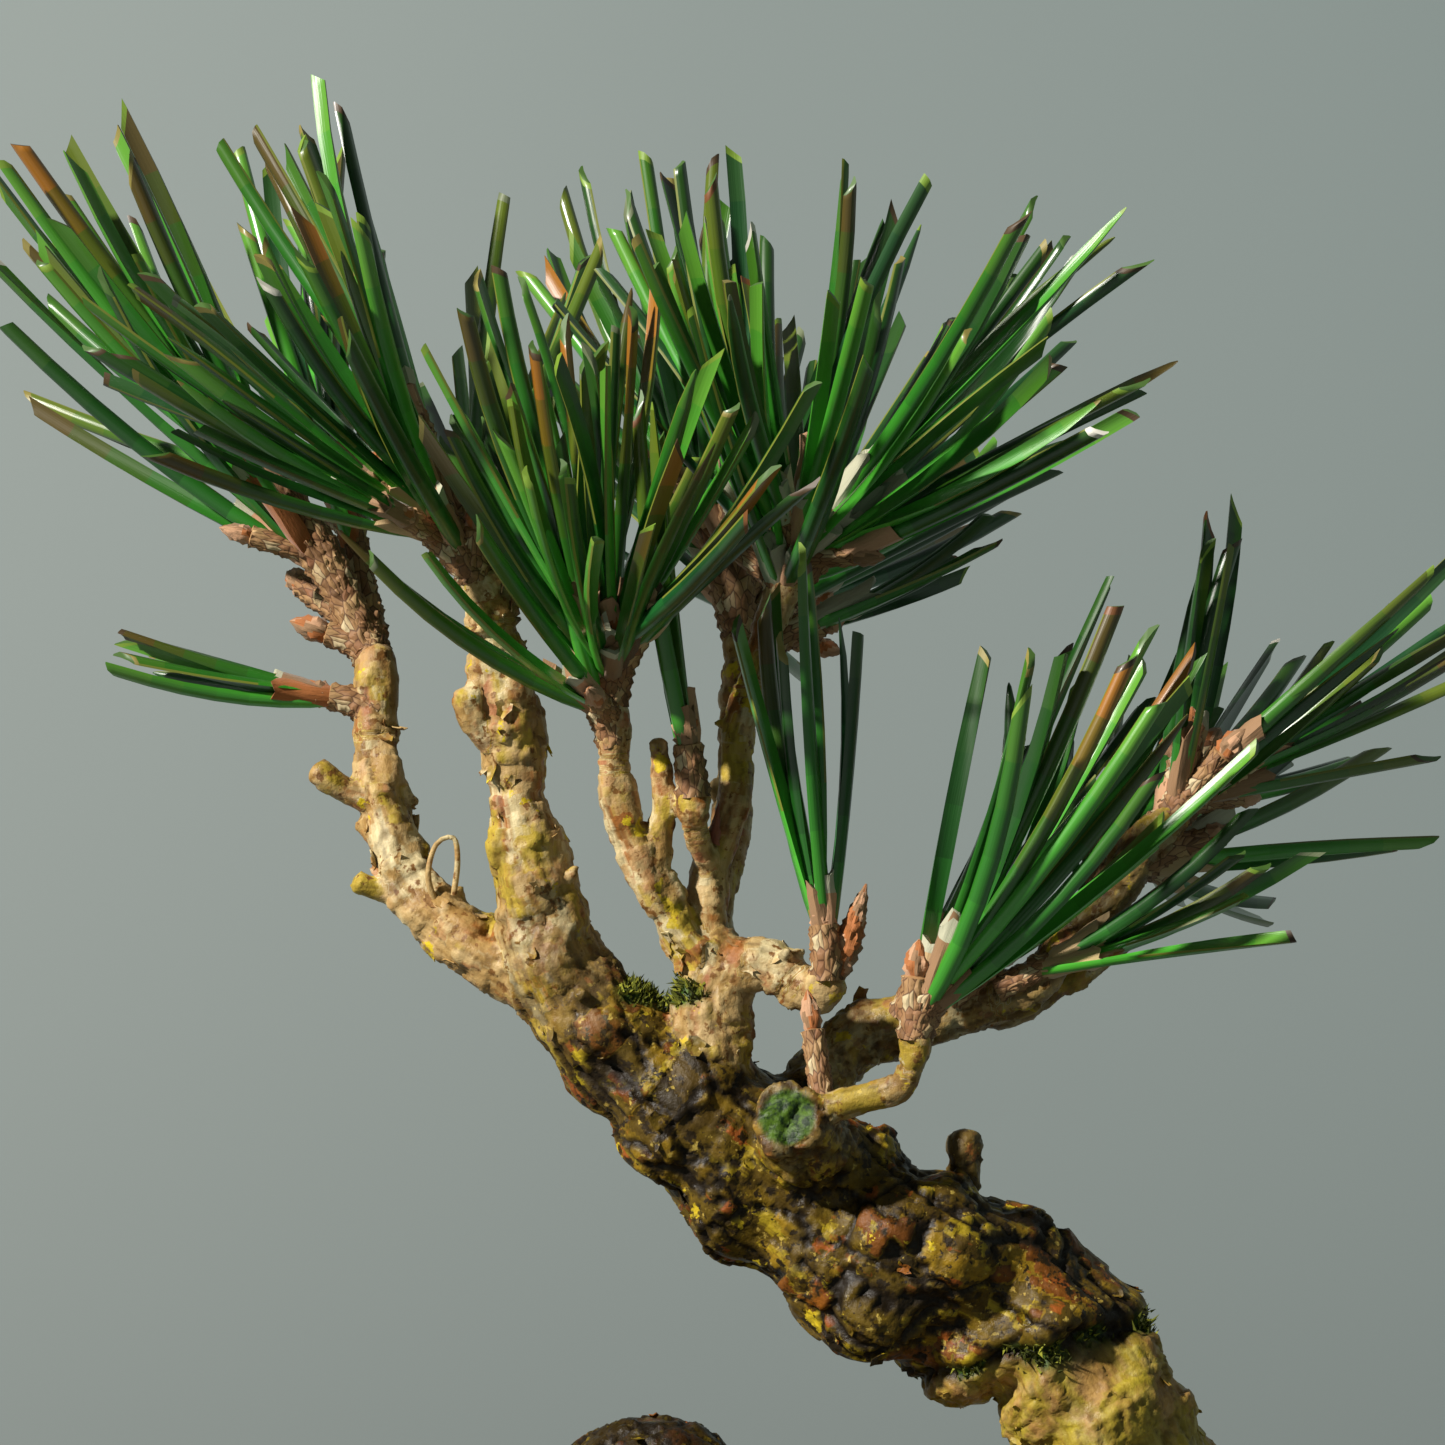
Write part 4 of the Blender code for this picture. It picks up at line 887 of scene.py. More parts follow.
def grow_spurs(spec, shoots):
    """Short side shoots: each leaves a longer shoot low down, turned away from its axis."""
    rng = np.random.default_rng(spec["seed"] + SPUR_DRAWS)
    spurs = []
    for rows, axis, path, _, scale in shoots:
        if np.linalg.norm(rows[-1, :3] - rows[0, :3]) < SPUR_FROM:
            continue
        root = point_along(path, rng.uniform(*SPUR_PLACE))
        heading = tilted(axis, rng.uniform(*SPUR_LEAN), rng.uniform(0.0, 360.0))
        spurs.append(spur(root, heading, rng.uniform(*SPUR_LENGTH), 2, scale * SPUR_SCALE))
    return spurs


def limb_spurs(name):
    """The spurs of a mass that stand on bare wood, in the same form as its shoots."""
    return [spur(np.array(foot), aim(turn, lean), reach, fascicles, LIMB_SPUR_SCALE)
            for foot, turn, lean, reach, fascicles in LIMB_SPURS.get(name, [])]


def inside_box(grown, name):
    """The pairs whose needles all end within the box of the mass's node."""
    low, high = (np.array(corner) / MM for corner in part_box(name))
    kept = []
    for first, second in zip(grown[0::2], grown[1::2]):
        ends = np.array([first[1], second[1]])
        if (ends > low - BOX_SLACK).all() and (ends < high + BOX_SLACK).all():
            kept += [first, second]
    return kept


spur_frames, extra = {}, {}
for name, spec in MASSES.items():
    shoots = frames[name][1]
    more = [(rows, axis, path, max(1, round(fascicles * EXTRA_SHARE)), scale * EXTRA_SCALE)
            for rows, axis, path, fascicles, scale in shoots]
    spur_frames[name] = grow_spurs(spec, shoots) + limb_spurs(name)
    second = dict(spec, seed=spec["seed"] + EXTRA_DRAWS)
    found = grow_needles(second, name, more + spur_frames[name], limbs, twigs, needles, outer, sky)
    extra[name] = inside_box(found, name)
print("more needles:", sum(len(grown) for grown in extra.values()))


# %% [markdown]
# A pine needle has a waxy skin: deep green, glossy along its length and dull across it.
# Half of a cylinder is its true section, because the two needles of a pair fill one round
# sheath. Fine lines of pores run along it. They are drawn as a bump that is stretched
# along the needle's own UV map. The colours that have a place, such as the fresh green
# foot, the yellow margins or a brown tip, are plain base colours on their own faces.

# %% Needle finishes
LINE_WIDTH = 0.17
LINE_LENGTH = 9.0
STEPS = 6


def roughen(tree, shader, place, scale, detail, roughness, strength, depth):
    """Fine relief on a surface: noise read at a place, bumped to a depth in metres."""
    noise = add(tree, "TexNoise", {0: place, "Scale": scale, "Detail": detail, "Roughness": roughness})
    raised = add(tree, "Bump", {"Strength": strength, "Distance": depth, "Height": noise.outputs[0]})
    tree.links.new(raised.outputs[0], shader.inputs["Normal"])


def leaf_skin(name, colour, roughness=0.3):
    """Waxed leaf skin of one colour, with fine lines along it: noise stretched by the UV map."""
    made, tree, shader = finish_named(
        name, Base_Color=colour, Roughness=roughness, Specular_IOR_Level=0.62, Coat_Weight=0.15,
        Coat_Roughness=0.18)
    flat = add(tree, "TexCoord").outputs["UV"]
    lines = add(tree, "Mapping", {0: flat, "Scale": (1 / LINE_WIDTH, 1 / LINE_LENGTH, 1.0)})
    roughen(tree, shader, lines.outputs[0], 1.0, 3.0, 0.6, 0.4, 0.07 * MM)
    return made


def between(stops, place):
    """A linear colour at a place from 0 to 1 between even stops of hex codes."""
    colours = np.array([linear(code) for code in stops])
    spot = place * (len(stops) - 1)
    index = min(int(spot), len(stops) - 2)
    mixed = colours[index] + (colours[index + 1] - colours[index]) * (spot - index)
    return tuple(float(value) for value in mixed)


# Each kind of needle goes from its foot to its tip through five tones, read at six steps.
KINDS = {
    "deep": ["#276c1e", "#1a5016", "#133e11", "#153e11", "#264a18"],
    "leaf": ["#358421", "#2a721c", "#226218", "#276219", "#3b691c"],
    "olive": ["#377c20", "#32691a", "#3a6217", "#486418", "#58681c"],
    "light": ["#48a432", "#41982c", "#3c8c28", "#438a28", "#58922e"],
    "blue": ["#246a2c", "#1a5426", "#144420", "#184420", "#284e24"],
    "scorched": ["#2f7422", "#2b6219", "#3f5f18", "#645a18", "#94611f"],
    "browned": ["#2f7a22", "#26621a", "#2c5918", "#3c4f17", "#4f431a"],
}
# Cut or dried tips, the yellow edge of an older needle, its cut heart and a drop of resin.
TIPS = {"lime": "#71902a", "straw": "#84793a", "umber": "#46341c", "rust": "#70441f",
        "ash": "#667052", "edge": "#6a7322", "heart": "#3e5f20", "resin": "#c9c6ba"}
needle_skins = []
for kind, codes in KINDS.items():
    for step in range(STEPS):
        name = "waxy_needle_skin_%s_%d" % (kind, step + 1)
        needle_skins.append(leaf_skin(name, between(codes, step / (STEPS - 1))))
SKIN = {kind: index * STEPS for index, kind in enumerate(KINDS)}
for kind, code in TIPS.items():
    SKIN[kind] = len(needle_skins)
    needle_skins.append(leaf_skin("cut_needle_end_" + kind, linear(code), 0.5))
print(len(needle_skins), "needle finishes")

# %% [markdown]
# All the needles of a mass are worked out at once. Four arrays hold, for each needle, its
# foot, its tip, its round side and its bow. The section is carried along a gentle arc
# between foot and tip, turned a little on the way, and closed at both ends. Most needles
# of a trained tree are cut with scissors, so they end in a slanted face with one sharp
# corner, and a few end in a point.

# %% Needle shapes
SECTION_TURN = np.radians([0.0, 16.0, 60.0, 120.0, 164.0, 180.0])
SECTION = np.vstack([np.column_stack([np.cos(SECTION_TURN) / 2, np.sin(SECTION_TURN)]),
                     [(-0.24, 0.16), (0.24, 0.16)]])
RINGS = np.array([0.0, 0.14, 0.28, 0.43, 0.58, 0.73, 0.87, 0.98, 1.0])
# Width at each ring, as a share of the full one, of a cut needle and of a pointed one.
SIZES = np.array([0.84, 0.97, 1.0, 1.0, 0.98, 0.96, 0.92, 0.88, 0.84])
POINTED_SIZES = np.array([0.84, 0.97, 1.0, 1.0, 0.97, 0.9, 0.72, 0.28, 0.08])
BOW = (0.01, 0.065)
TURN_ALONG = 42.0
CUT_SLANT = (0.4, 2.3)


def lengths_of(rows):
    """Length of each vector in an array of them."""
    return np.sqrt((rows * rows).sum(-1, keepdims=True))


def units(rows):
    """Each vector in an array of them, made one long."""
    return rows / lengths_of(rows)


def needle_shapes(pile, grown, rng, palette):
    """Needles along arcs: foot + (tip - foot) t + bow 4 t (1 - t), a section swept along each."""
    start, end, outward = (np.array(column) for column in zip(*grown))
    count = len(start)
    length = lengths_of(end - start)
    rise = np.array([0.0, 0.0, 1.0]) - (end - start) * ((end - start)[:, 2:3] / length ** 2)
    bow = rng.normal(0.0, 0.55, (count, 3)) - 0.7 * rise
    bow = units(bow) * length * rng.uniform(*BOW, (count, 1))
    pointed = rng.random(count) < palette.get("pointed", 0.1)
    slant = np.where(pointed, 0.0, rng.choice([-1.0, 1.0], count) * rng.uniform(*CUT_SLANT, count))
    shortened = 1 - 0.6 * np.abs(slant)[:, None, None] * NEEDLE_WIDTH / length[:, None]
    t = RINGS[None, :, None] * shortened
    centre = start[:, None] + (end - start)[:, None] * t + bow[:, None] * 4 * t * (1 - t)
    along = units(np.gradient(centre, RINGS, axis=1))
    out = units(outward[:, None] - along * (outward[:, None] * along).sum(-1, keepdims=True))
    side = np.cross(out, along)
    turned = np.radians(rng.normal(0.0, TURN_ALONG, count))[:, None, None] * t
    side, out = (side * np.cos(turned) + out * np.sin(turned),
                 out * np.cos(turned) - side * np.sin(turned))
    size = np.where(pointed[:, None], POINTED_SIZES, SIZES)
    wide = size * (NEEDLE_WIDTH * rng.uniform(0.9, 1.04, count))[:, None]
    deep = size * (NEEDLE_DEPTH * rng.uniform(0.86, 1.0, count))[:, None]
    x = wide[:, :, None] * SECTION[None, None, :, 0]
    y = deep[:, :, None] * (SECTION[None, None, :, 1] - 0.25)
    lift = np.zeros_like(x)
    cut = slant[:, None, None] * x[:, -2:] + 0.5 * np.abs(slant[:, None, None]) * wide[:, -2:, None]
    lift[:, -2:] = cut * np.array([0.85, 1.0])[None, :, None]
    points = (centre[:, :, None] + side[:, :, None] * x[..., None] + out[:, :, None] * y[..., None]
              + along[:, :, None] * lift[..., None])
    ends = np.stack([points[:, 0].mean(1), points[:, -1].mean(1)], axis=1)
    quads, triangles = capped_tubes(len(RINGS), len(SECTION), count)
    slots, tips = needle_colours(count, rng, palette)
    outline = np.vstack([SECTION, SECTION[:1]]) * (NEEDLE_WIDTH, NEEDLE_DEPTH)
    across = np.concatenate([[0.0], np.cumsum(np.hypot(*np.diff(outline, axis=0).T))])
    u = across[None, None, :] + rng.uniform(0.0, 90.0, (count, 1, 1)) + 0.0 * t
    v = length[:, None] * t + rng.uniform(0.0, 90.0, (count, 1, 1)) + 0.0 * u
    everything = np.concatenate([points.reshape(count, -1, 3), ends], axis=1)
    end_slots = np.repeat(np.concatenate([slots[:, 0, 0], tips]), len(SECTION))
    pile.add(everything, quads, triangles, slots, end_slots, face_corners(np.stack([u, v], axis=-1)))


def needle_colours(count, rng, palette):
    """The slot of each face: six steps from foot to tip, margins of an older edge, and a tip."""
    kinds = palette["body"]
    weights = np.array(palette["weights"], float)
    dealt = rng.choice(len(kinds), count, p=weights / weights.sum())
    body = np.array([SKIN[kind] for kind in kinds])[dealt]
    dry = rng.random(count)
    scorched = dry < palette.get("scorched", 0.02)
    body = np.where(scorched, SKIN["scorched"], body)
    body = np.where(dry > 1 - palette.get("browned", 0.08), SKIN["browned"], body)
    steps = np.array([0, 0, 1, 2, 3, 4, 5, 5])
    slots = body[:, None, None] + steps[None, :, None] + np.zeros((1, 1, len(SECTION)), int)
    edged = rng.random(count) < palette.get("edged", 0.55)
    for column in (0, 4):
        slots[edged, 3:, column] = SKIN["edge"]
    ends = np.array([SKIN[kind] for kind in ("lime", "straw", "umber", "rust", "ash")])
    tips = ends[rng.choice(5, count, p=[0.42, 0.18, 0.24, 0.06, 0.1])]
    tips = np.where(scorched, SKIN["umber"], tips)
    dyed = rng.random(count) < 0.6
    slots[dyed, 7] = tips[dyed, None]
    sticky = rng.random(count) < 0.015
    slots[sticky, 7] = SKIN["resin"]
    heart = np.where(rng.random(count) < 0.7, SKIN["heart"], tips)
    return slots, np.where(sticky, SKIN["resin"], heart)


print("a needle has", len(RINGS) * len(SECTION) + 2, "points")


# %% [markdown]
# Each pair of needles sits in a papery sheath, which is white-green when fresh and turns
# to peach and orange-brown as it dries. A sheath is a thin tube round the pair's foot,
# with a torn rim. It starts inside the shoot, so only the part past the shoot's bark
# shows, and it is longest where the pair leaves the shoot at a narrow angle.

# %% Sheaths
SHEATH_SHOWN = (2.4, 4.6)
SHEATH_RADIUS = 0.86
SHEATH_COLUMNS = 8
# Rings of a sheath: radius as a share, and place from its foot to its torn rim. The last
# ring turns in below the rim.
SHEATH_SIZES = np.array([0.7, 1.0, 1.04, 1.0, 1.08, 0.72])
SHEATH_RINGS = np.array([0.0, 0.2, 0.5, 0.8, 1.0, 0.97])
SHEATH_COLOURS = {"peach": "#b98e6c", "pale": "#aead94", "rust": "#a2612f", "tan": "#8d6c4c",
                  "red": "#945443", "sage": "#93a083", "cream": "#b89c72", "umber": "#5f4630"}


def dry_scale(name, code, grain=0.35, roughness=0.68):
    """Dry papery scale of one colour, with fibres along it from noise that the UV map stretches."""
    made, tree, shader = finish_named(name, Base_Color=linear(code), Roughness=roughness,
                                      Specular_IOR_Level=0.35, Sheen_Weight=0.15)
    flat = add(tree, "TexCoord").outputs["UV"]
    fibres = add(tree, "Mapping", {0: flat, "Scale": (1 / grain, 1 / (8 * grain), 1.0)})
    roughen(tree, shader, fibres.outputs[0], 1.0, 4.0, 0.7, 0.8, 0.15 * MM)
    return made


twig_skins = [dry_scale("dry_bud_scale_" + kind, code) for kind, code in SHEATH_COLOURS.items()]
SCALE = {kind: slot for slot, kind in enumerate(SHEATH_COLOURS)}
print(len(twig_skins), "finishes of dry scales")


def sheath_shapes(pile, grown, shown, rng, kinds):
    """Tubes round each pair: radius nearly even, the last ring torn, and a lid drawn inside it."""
    start, end, _ = (np.array(column) for column in zip(*grown))
    base = (start[0::2] + start[1::2]) / 2
    heading = units(end - start)
    along = units(heading[0::2] + heading[1::2])
    side = units(np.cross(along, (0.31, 0.9, 0.2)))
    other = np.cross(along, side)
    count, rings, columns = len(base), len(SHEATH_RINGS), SHEATH_COLUMNS
    angle = even_angles(columns)
    radius = SHEATH_SIZES[None, :, None] * SHEATH_RADIUS
    radius = radius * (1 + 0.1 * rng.normal(size=(count, rings, columns)))
    place = SHEATH_RINGS[None, :, None] * shown[:, None, None]
    place = place + np.zeros((count, rings, columns))
    place[:, 4] += rng.uniform(-0.9, 0.8, (count, columns))
    place[:, 5] = place[:, 4] - 0.12
    points = (base[:, None, None] + along[:, None, None] * place[..., None]
              + side[:, None, None] * (radius * np.cos(angle))[..., None]
              + other[:, None, None] * (radius * np.sin(angle))[..., None])
    ends = np.stack([points[:, 0].mean(1), points[:, -1].mean(1) - 0.4 * along], axis=1)
    kind = rng.choice([SCALE[k] for k in kinds], count)
    slots = np.repeat(np.repeat(kind[:, None, None], rings - 1, 1), columns, 2)
    frayed = rng.random(count) < 0.4
    slots[frayed, 3:] = SCALE["pale"]
    u = np.arange(columns + 1)[None, None, :] * 0.68 + rng.uniform(0, 50, (count, 1, 1))
    v = place[:, :, :1] + rng.uniform(0, 50, (count, 1, 1)) + 0 * u
    everything = np.concatenate([points.reshape(count, -1, 3), ends], axis=1)
    end_slots = np.repeat(np.concatenate([kind, kind]), columns)
    pile.add(everything, *capped_tubes(rings, columns, count), slots, end_slots,
             face_corners(np.stack([u + 0 * v, v], axis=-1)))


def sheath_lengths(grown, shoots, rng):
    """How far each sheath reaches: to where its pair leaves the shoot's bark, and a shown part."""
    start, end, _ = (np.array(column) for column in zip(*grown))
    base, tip = (start[0::2] + start[1::2]) / 2, (end[0::2] + end[1::2]) / 2
    along = units(tip - base)
    ends = np.array([rows[-1, :3] for rows, *_ in shoots])
    axes = np.array([axis for _, axis, *_ in shoots])
    near = lengths_of(base[:, None] - ends[None])[..., 0].argmin(1)
    lean = lengths_of(np.cross(along, axes[near]))[:, 0]
    to_tip = lengths_of(base - ends[near])[:, 0]
    inside = np.minimum(1.25 / np.maximum(lean, 0.12), to_tip + 0.4)
    return inside + rng.uniform(*SHEATH_SHOWN, len(base))


# %% [markdown]
# The shoots are short and rough: every fallen scale leaves a ledge. A shoot is a tube
# whose radius grows slowly along each scale and drops at its end, and the scales follow
# each other in a spiral. A bud is the same surface on a spindle.

# %% Shoots and buds
SHOOT_COLUMNS = 24
SCALE_PITCH = 0.95
SCALES_ROUND = 6
# How many tones are drawn for the scales of a tube before they repeat.
SCALE_DRAWS = 997


def shoot_skin():
    """Young shoot bark: scale scars in peach, tan and cream cells with dark seams, on the UV map."""
    made, tree, shader = finish_named("scaly_shoot_bark", Roughness=0.66, Specular_IOR_Level=0.35)
    flat = add(tree, "TexCoord").outputs["UV"]
    drawn = add(tree, "Mapping", {0: flat, "Scale": (1.6, 0.85, 1.0)})
    scars = {0: drawn.outputs[0], "Scale": 1.0}
    cells = add(tree, "TexVoronoi", scars, voronoi_dimensions="2D")
    pick = add(tree, "SeparateColor", {0: cells.outputs["Color"]})
    tone = add(tree, "ValToRGB", {0: pick.outputs[0]}, stops=[
        (0.0, "#614429"), (0.25, "#876341"), (0.5, "#9b7850"), (0.7, "#7d5336"), (0.85, "#ac8c60"),
        (1.0, "#c0af8a")])
    seams = add(tree, "TexVoronoi", scars, feature="DISTANCE_TO_EDGE", voronoi_dimensions="2D")
    seam = add(tree, "MapRange", {0: seams.outputs[0], 1: 0.0, 2: 0.1, 3: 1.0, 4: 0.0})
    tone = add(tree, "MixRGB", {0: seam.outputs[0], 1: tone.outputs[0], 2: "#4e301c"})
    tree.links.new(tone.outputs[0], shader.inputs["Base Color"])
    raised = add(tree, "Bump", {"Strength": 0.8, "Distance": 0.2 * MM, "Height": seams.outputs[0]})
    tree.links.new(raised.outputs[0], shader.inputs["Normal"])
    return made


SCALE["scars"] = len(twig_skins)
twig_skins.append(shoot_skin())


def scaly_tube(pile, rows, rng, kinds, ledge=0.24, row_step=0.28, bud=False):
    """A tube round the rows: radius (1 + ledge x place within the scale), scales in a spiral."""
    fine = smooth_rows(rows, row_step)
    centres = fine[:, :3]
    along, across, up = frames_along(centres)
    run = run_along(centres)
    angle = even_angles(SHOOT_COLUMNS)
    turn = angle[None, :] / (2 * math.pi) * SCALES_ROUND
    place = run[:, None] / SCALE_PITCH + turn * 0.62
    round_place = (turn + 0.5 * np.floor(place)) % 1.0
    within = place % 1.0
    shape = within ** 1.4 * np.sqrt(np.clip(np.sin(math.pi * round_place), 0.0, 1.0))
    radius = fine[:, 3:4] * (0.9 + ledge * shape + rng.normal(0.0, 0.03, shape.shape))
    if not bud:
        radius *= 1.0 + 0.07 * np.sin(run / 1.9 + rng.uniform(0, 6))[:, None]
    rings = rings_round(centres, across, up, angle, radius)
    ends = [centres[0] - along[0] * 0.1, centres[-1] + along[-1] * 0.35 * fine[-1, 3]]
    cell = (np.floor(place) * 7 + np.floor(turn + 0.5 * np.floor(place)) * 13).astype(int)
    dealt = rng.integers(0, len(kinds), SCALE_DRAWS)[cell[:-1] % SCALE_DRAWS]
    slots = np.array([SCALE[k] for k in kinds])[dealt]
    u = np.arange(SHOOT_COLUMNS + 1)[None, :] * 0.4 + 0 * run[:, None]
    pile.add(np.vstack([rings.reshape(-1, 3), ends]), *capped_tubes(len(fine), SHOOT_COLUMNS),
             slots, slots[0, 0], face_corners(np.stack([u, run[:, None] + 0 * u], axis=-1)))


def bud_rows(foot, heading, length, radius):
    """A spindle: radius x sin(pi x place to the power 0.75), a little open at the foot."""
    place = np.linspace(0.08, 0.985, 9)
    shape = np.sin(math.pi * place ** 0.75) ** 0.8
    return np.column_stack([foot + heading * (place * length)[:, None], radius * shape])


print("finish of the shoots:", twig_skins[-1].name)


# %% [markdown]
# No two tufts of a pine have one green, and a few needles are scorched at the tip or browned by age. So
# each mass deals out its needles from a mix of its own, and its sheaths and buds too. The mixes are
# partly the needles' own differences and partly painted light and shade: the masses on the sunlit left
# deal more of the light greens, and the back mass more of the deep ones. All the needles of a mass are
# one mesh and its shoots another, and the two take the place of the mass's node.

# %% Mixes of green, sheaths and buds
GREENS = ["deep", "leaf", "light", "blue", "olive"]
# Weights of deep, leaf, light, blue and olive: partly painted light and shade, with more light greens
# on the left masses and more deep greens at the back.
PALETTES = {
    "needles_front": dict(body=GREENS, weights=[4, 4, 1, 1, 0], edged=0.3),
    "needles_right_front": dict(body=GREENS, weights=[2, 4, 3, 0, 2], scorched=0.04),
    "needles_low": dict(body=GREENS, weights=[1, 2, 0, 0, 4], edged=0.7),
    "needles_centre": dict(body=GREENS, weights=[3, 3, 3, 1, 3], edged=0.7, scorched=0.07),
    "needles_left_front": dict(body=GREENS, weights=[4, 3, 4, 1, 2]),
    "needles_top": dict(body=GREENS, weights=[4, 3, 4, 2, 2], scorched=0.01),
    "needles_right": dict(body=GREENS, weights=[4, 3, 3, 1, 3], scorched=0.03, browned=0.12),
    "needles_left_outer": dict(body=GREENS, weights=[3, 4, 5, 1, 2], scorched=0.02),
    "needles_back": dict(body=GREENS, weights=[5, 3, 1, 2, 1], scorched=0.02),
}
SHEATH_KINDS = {
    "needles_left_outer": ["rust", "rust", "rust", "peach", "tan"],
    "needles_left_front": ["peach", "cream", "peach", "tan"],
    "needles_centre": ["cream", "peach", "tan", "umber"],
    "needles_top": ["pale", "sage", "peach", "pale"],
    "needles_front": ["tan", "rust", "peach"],
    "needles_right_front": ["tan", "peach", "cream"],
}
BUD_LENGTH = (2.4, 3.8)
# Buds beside the shoots, from foot to tip with a radius and tones: one plump candle and
# three thin red dead ones.
SIDE_BUDS = {
    "needles_front": [((11.5, -4.6, 99.9), (13.9, -4.7, 107.7), 0.95,
                       ["rust", "peach", "rust", "tan"])],
    "needles_low": [((2.3, -0.9, 108.2), (2.9, -1.8, 113.6), 0.4, ["red"]),
                    ((2.0, -0.7, 107.9), (0.6, -1.6, 111.6), 0.36, ["red"]),
                    ((2.1, -0.6, 108.4), (-0.1, -0.9, 114.2), 0.36, ["red", "pale"])],
}
print(len(PALETTES), "mixes of green")

# %% Dress the masses
dressed = []
for name, spec in MASSES.items():
    stem, shoots, grown = crown[name]
    all_shoots = shoots + spur_frames[name]
    rng = np.random.default_rng(spec["seed"] + DRESS_DRAWS)
    needle_pile, twig_pile = Pile(), Pile()
    kinds = SHEATH_KINDS.get(name, ["peach", "tan", "cream", "pale"])
    for group in (grown, extra[name]):
        if group:
            needle_shapes(needle_pile, group, rng, PALETTES[name])
            sheath_shapes(twig_pile, group, sheath_lengths(group, all_shoots, rng), rng, kinds)
    for rows, axis, *_ in all_shoots:
        scaly_tube(twig_pile, rows, rng, ["scars"])
        bud_foot = rows[-1, :3] - axis * 0.5
        bud = bud_rows(bud_foot, axis, rng.uniform(*BUD_LENGTH), rows[-1, 3] * 0.9)
        scaly_tube(twig_pile, bud, rng, ["peach", "rust", "tan", "peach"], ledge=0.4, bud=True)
    for foot, tip, thick, tones in SIDE_BUDS.get(name, []):
        ahead = np.subtract(tip, foot)
        bud = bud_rows(np.array(foot), unit(ahead), np.linalg.norm(ahead), thick)
        scaly_tube(twig_pile, bud, rng, tones, ledge=0.4, bud=True)
    leaves = needle_pile.piece(name + "_leaves", needle_skins, 62.0)
    shoots_made = twig_pile.piece(name + "_shoots", twig_skins, 50.0)
    for made in (leaves, shoots_made):
        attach(made, "root")
        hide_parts(name)
        dressed.append(made)
print("faces of the crown:", sum(len(made.data.polygons) for made in dressed))


# %% [markdown]
# Old pine bark breaks into plates that lift at their edges, with dark cracks between
# them, while young wood is pale, ringed and scaly. Sculpting that by hand would not
# repeat, so it is worked out. All limbs are first built as fine tubes, a voxel remesh
# turns them into one skin, and then each point of the skin is moved in or out by a
# height that numpy works out from its place along and round its limb.

# %% Finer limbs
BARK_VOXEL = 0.29
FINE_STEP = 0.8
FINE_SIDES = 40
PEGS = 30
# Where one limb grows out of another, the wood swells over the joint.
COLLARS = [
    [(3.0, -1.8, 97.4, 2.8), (2.0, -2.3, 93.4, 3.5), (-0.4, -2.2, 89.6, 4.0),
     (-2.6, -0.8, 86.8, 3.2)],
    [(-1.0, 0.2, 92.6, 4.8), (-4.8, -0.4, 95.6, 4.5), (-7.4, -0.6, 99.2, 3.6)],
    [(-8.2, -0.8, 98.4, 3.0), (-11.2, -0.2, 100.4, 2.7), (-14.4, 0.8, 102.0, 2.3)],
    [(12.0, 0.5, 84.5, 4.6), (10.2, -3.4, 86.9, 3.9), (8.9, -6.6, 89.0, 3.2)],
    [(6.0, 0.5, 88.0, 3.2), (9.4, 3.0, 90.4, 3.2), (11.4, 5.0, 92.8, 2.8)],
    [(2.2, -1.8, 98.2, 2.6), (3.0, -1.9, 100.8, 2.5), (4.4, -2.0, 101.8, 2.0)],
    [(37.9, 0.3, 50.0, 6.6), (38.5, 0.3, 53.6, 6.6), (37.9, 0.1, 57.0, 6.4)],
    [(1.0, 0.2, 53.8, 8.6), (5.0, 0.3, 53.4, 8.1), (9.0, 0.4, 52.2, 7.8)],
]


def closed_tube(pile, rows, sides, lump=0.0, seed=0, knobs=0, flared=False):
    """A closed tube round the rows: centre + radius x swelling x (cos, sin) of its frame."""
    centres = rows[:, :3]
    along, across, up = frames_along(centres)
    run, angle = run_along(centres)[:, None], even_angles(sides)
    factor = lump_factor(seed, lump, run, angle[None, :])
    if flared:
        factor = factor * flare_factor(centres[:, 2:3], angle[None, :])
    radius = rows[:, 3:4] * factor + knob_rise(seed, knobs, run, angle[None, :], rows[:, 3:4])
    rings = rings_round(centres, across, up, angle, radius)
    pile.add(np.vstack([rings.reshape(-1, 3), centres[:1], centres[-1:]]),
             *capped_tubes(len(rows), sides))


def rounded_end(rows):
    """The rows with a last one added, so that the tube ends in a low dome."""
    tip = rows[-1, :3] + unit(rows[-1, :3] - rows[-2, :3]) * 0.35 * rows[-1, 3]
    return np.vstack([rows, [(*tip, rows[-1, 3] * 0.55)]])


def peg_rows(name, rng):
    """A short dead peg that stands out of a limb at a place and angle of its own."""
    rows = smooth_rows(LIMBS[name]["points"], 1.0)
    along, across, up = frames_along(rows[:, :3])
    at = rng.integers(len(rows) // 6, len(rows) - 2)
    turn = rng.uniform(0.0, 2 * math.pi)
    out = across[at] * math.cos(turn) + up[at] * math.sin(turn)
    heading = unit(out + along[at] * rng.uniform(0.1, 0.7))
    foot = rows[at, :3] + out * rows[at, 3] * 0.6
    reach = rows[at, 3] * 0.4 + rng.uniform(0.4, 1.2)
    thick = rng.uniform(0.35, 0.75)
    return smooth_rows([(*foot, thick * 1.6), (*(foot + heading * reach * 0.6), thick),
                        (*(foot + heading * reach), thick * 0.8)], 0.4)


print(len(COLLARS), "swollen joints")


# %% All limbs as tubes
STUB_SIDES = 24
COLLAR_SIDES = 32
PEG_SIDES = 12

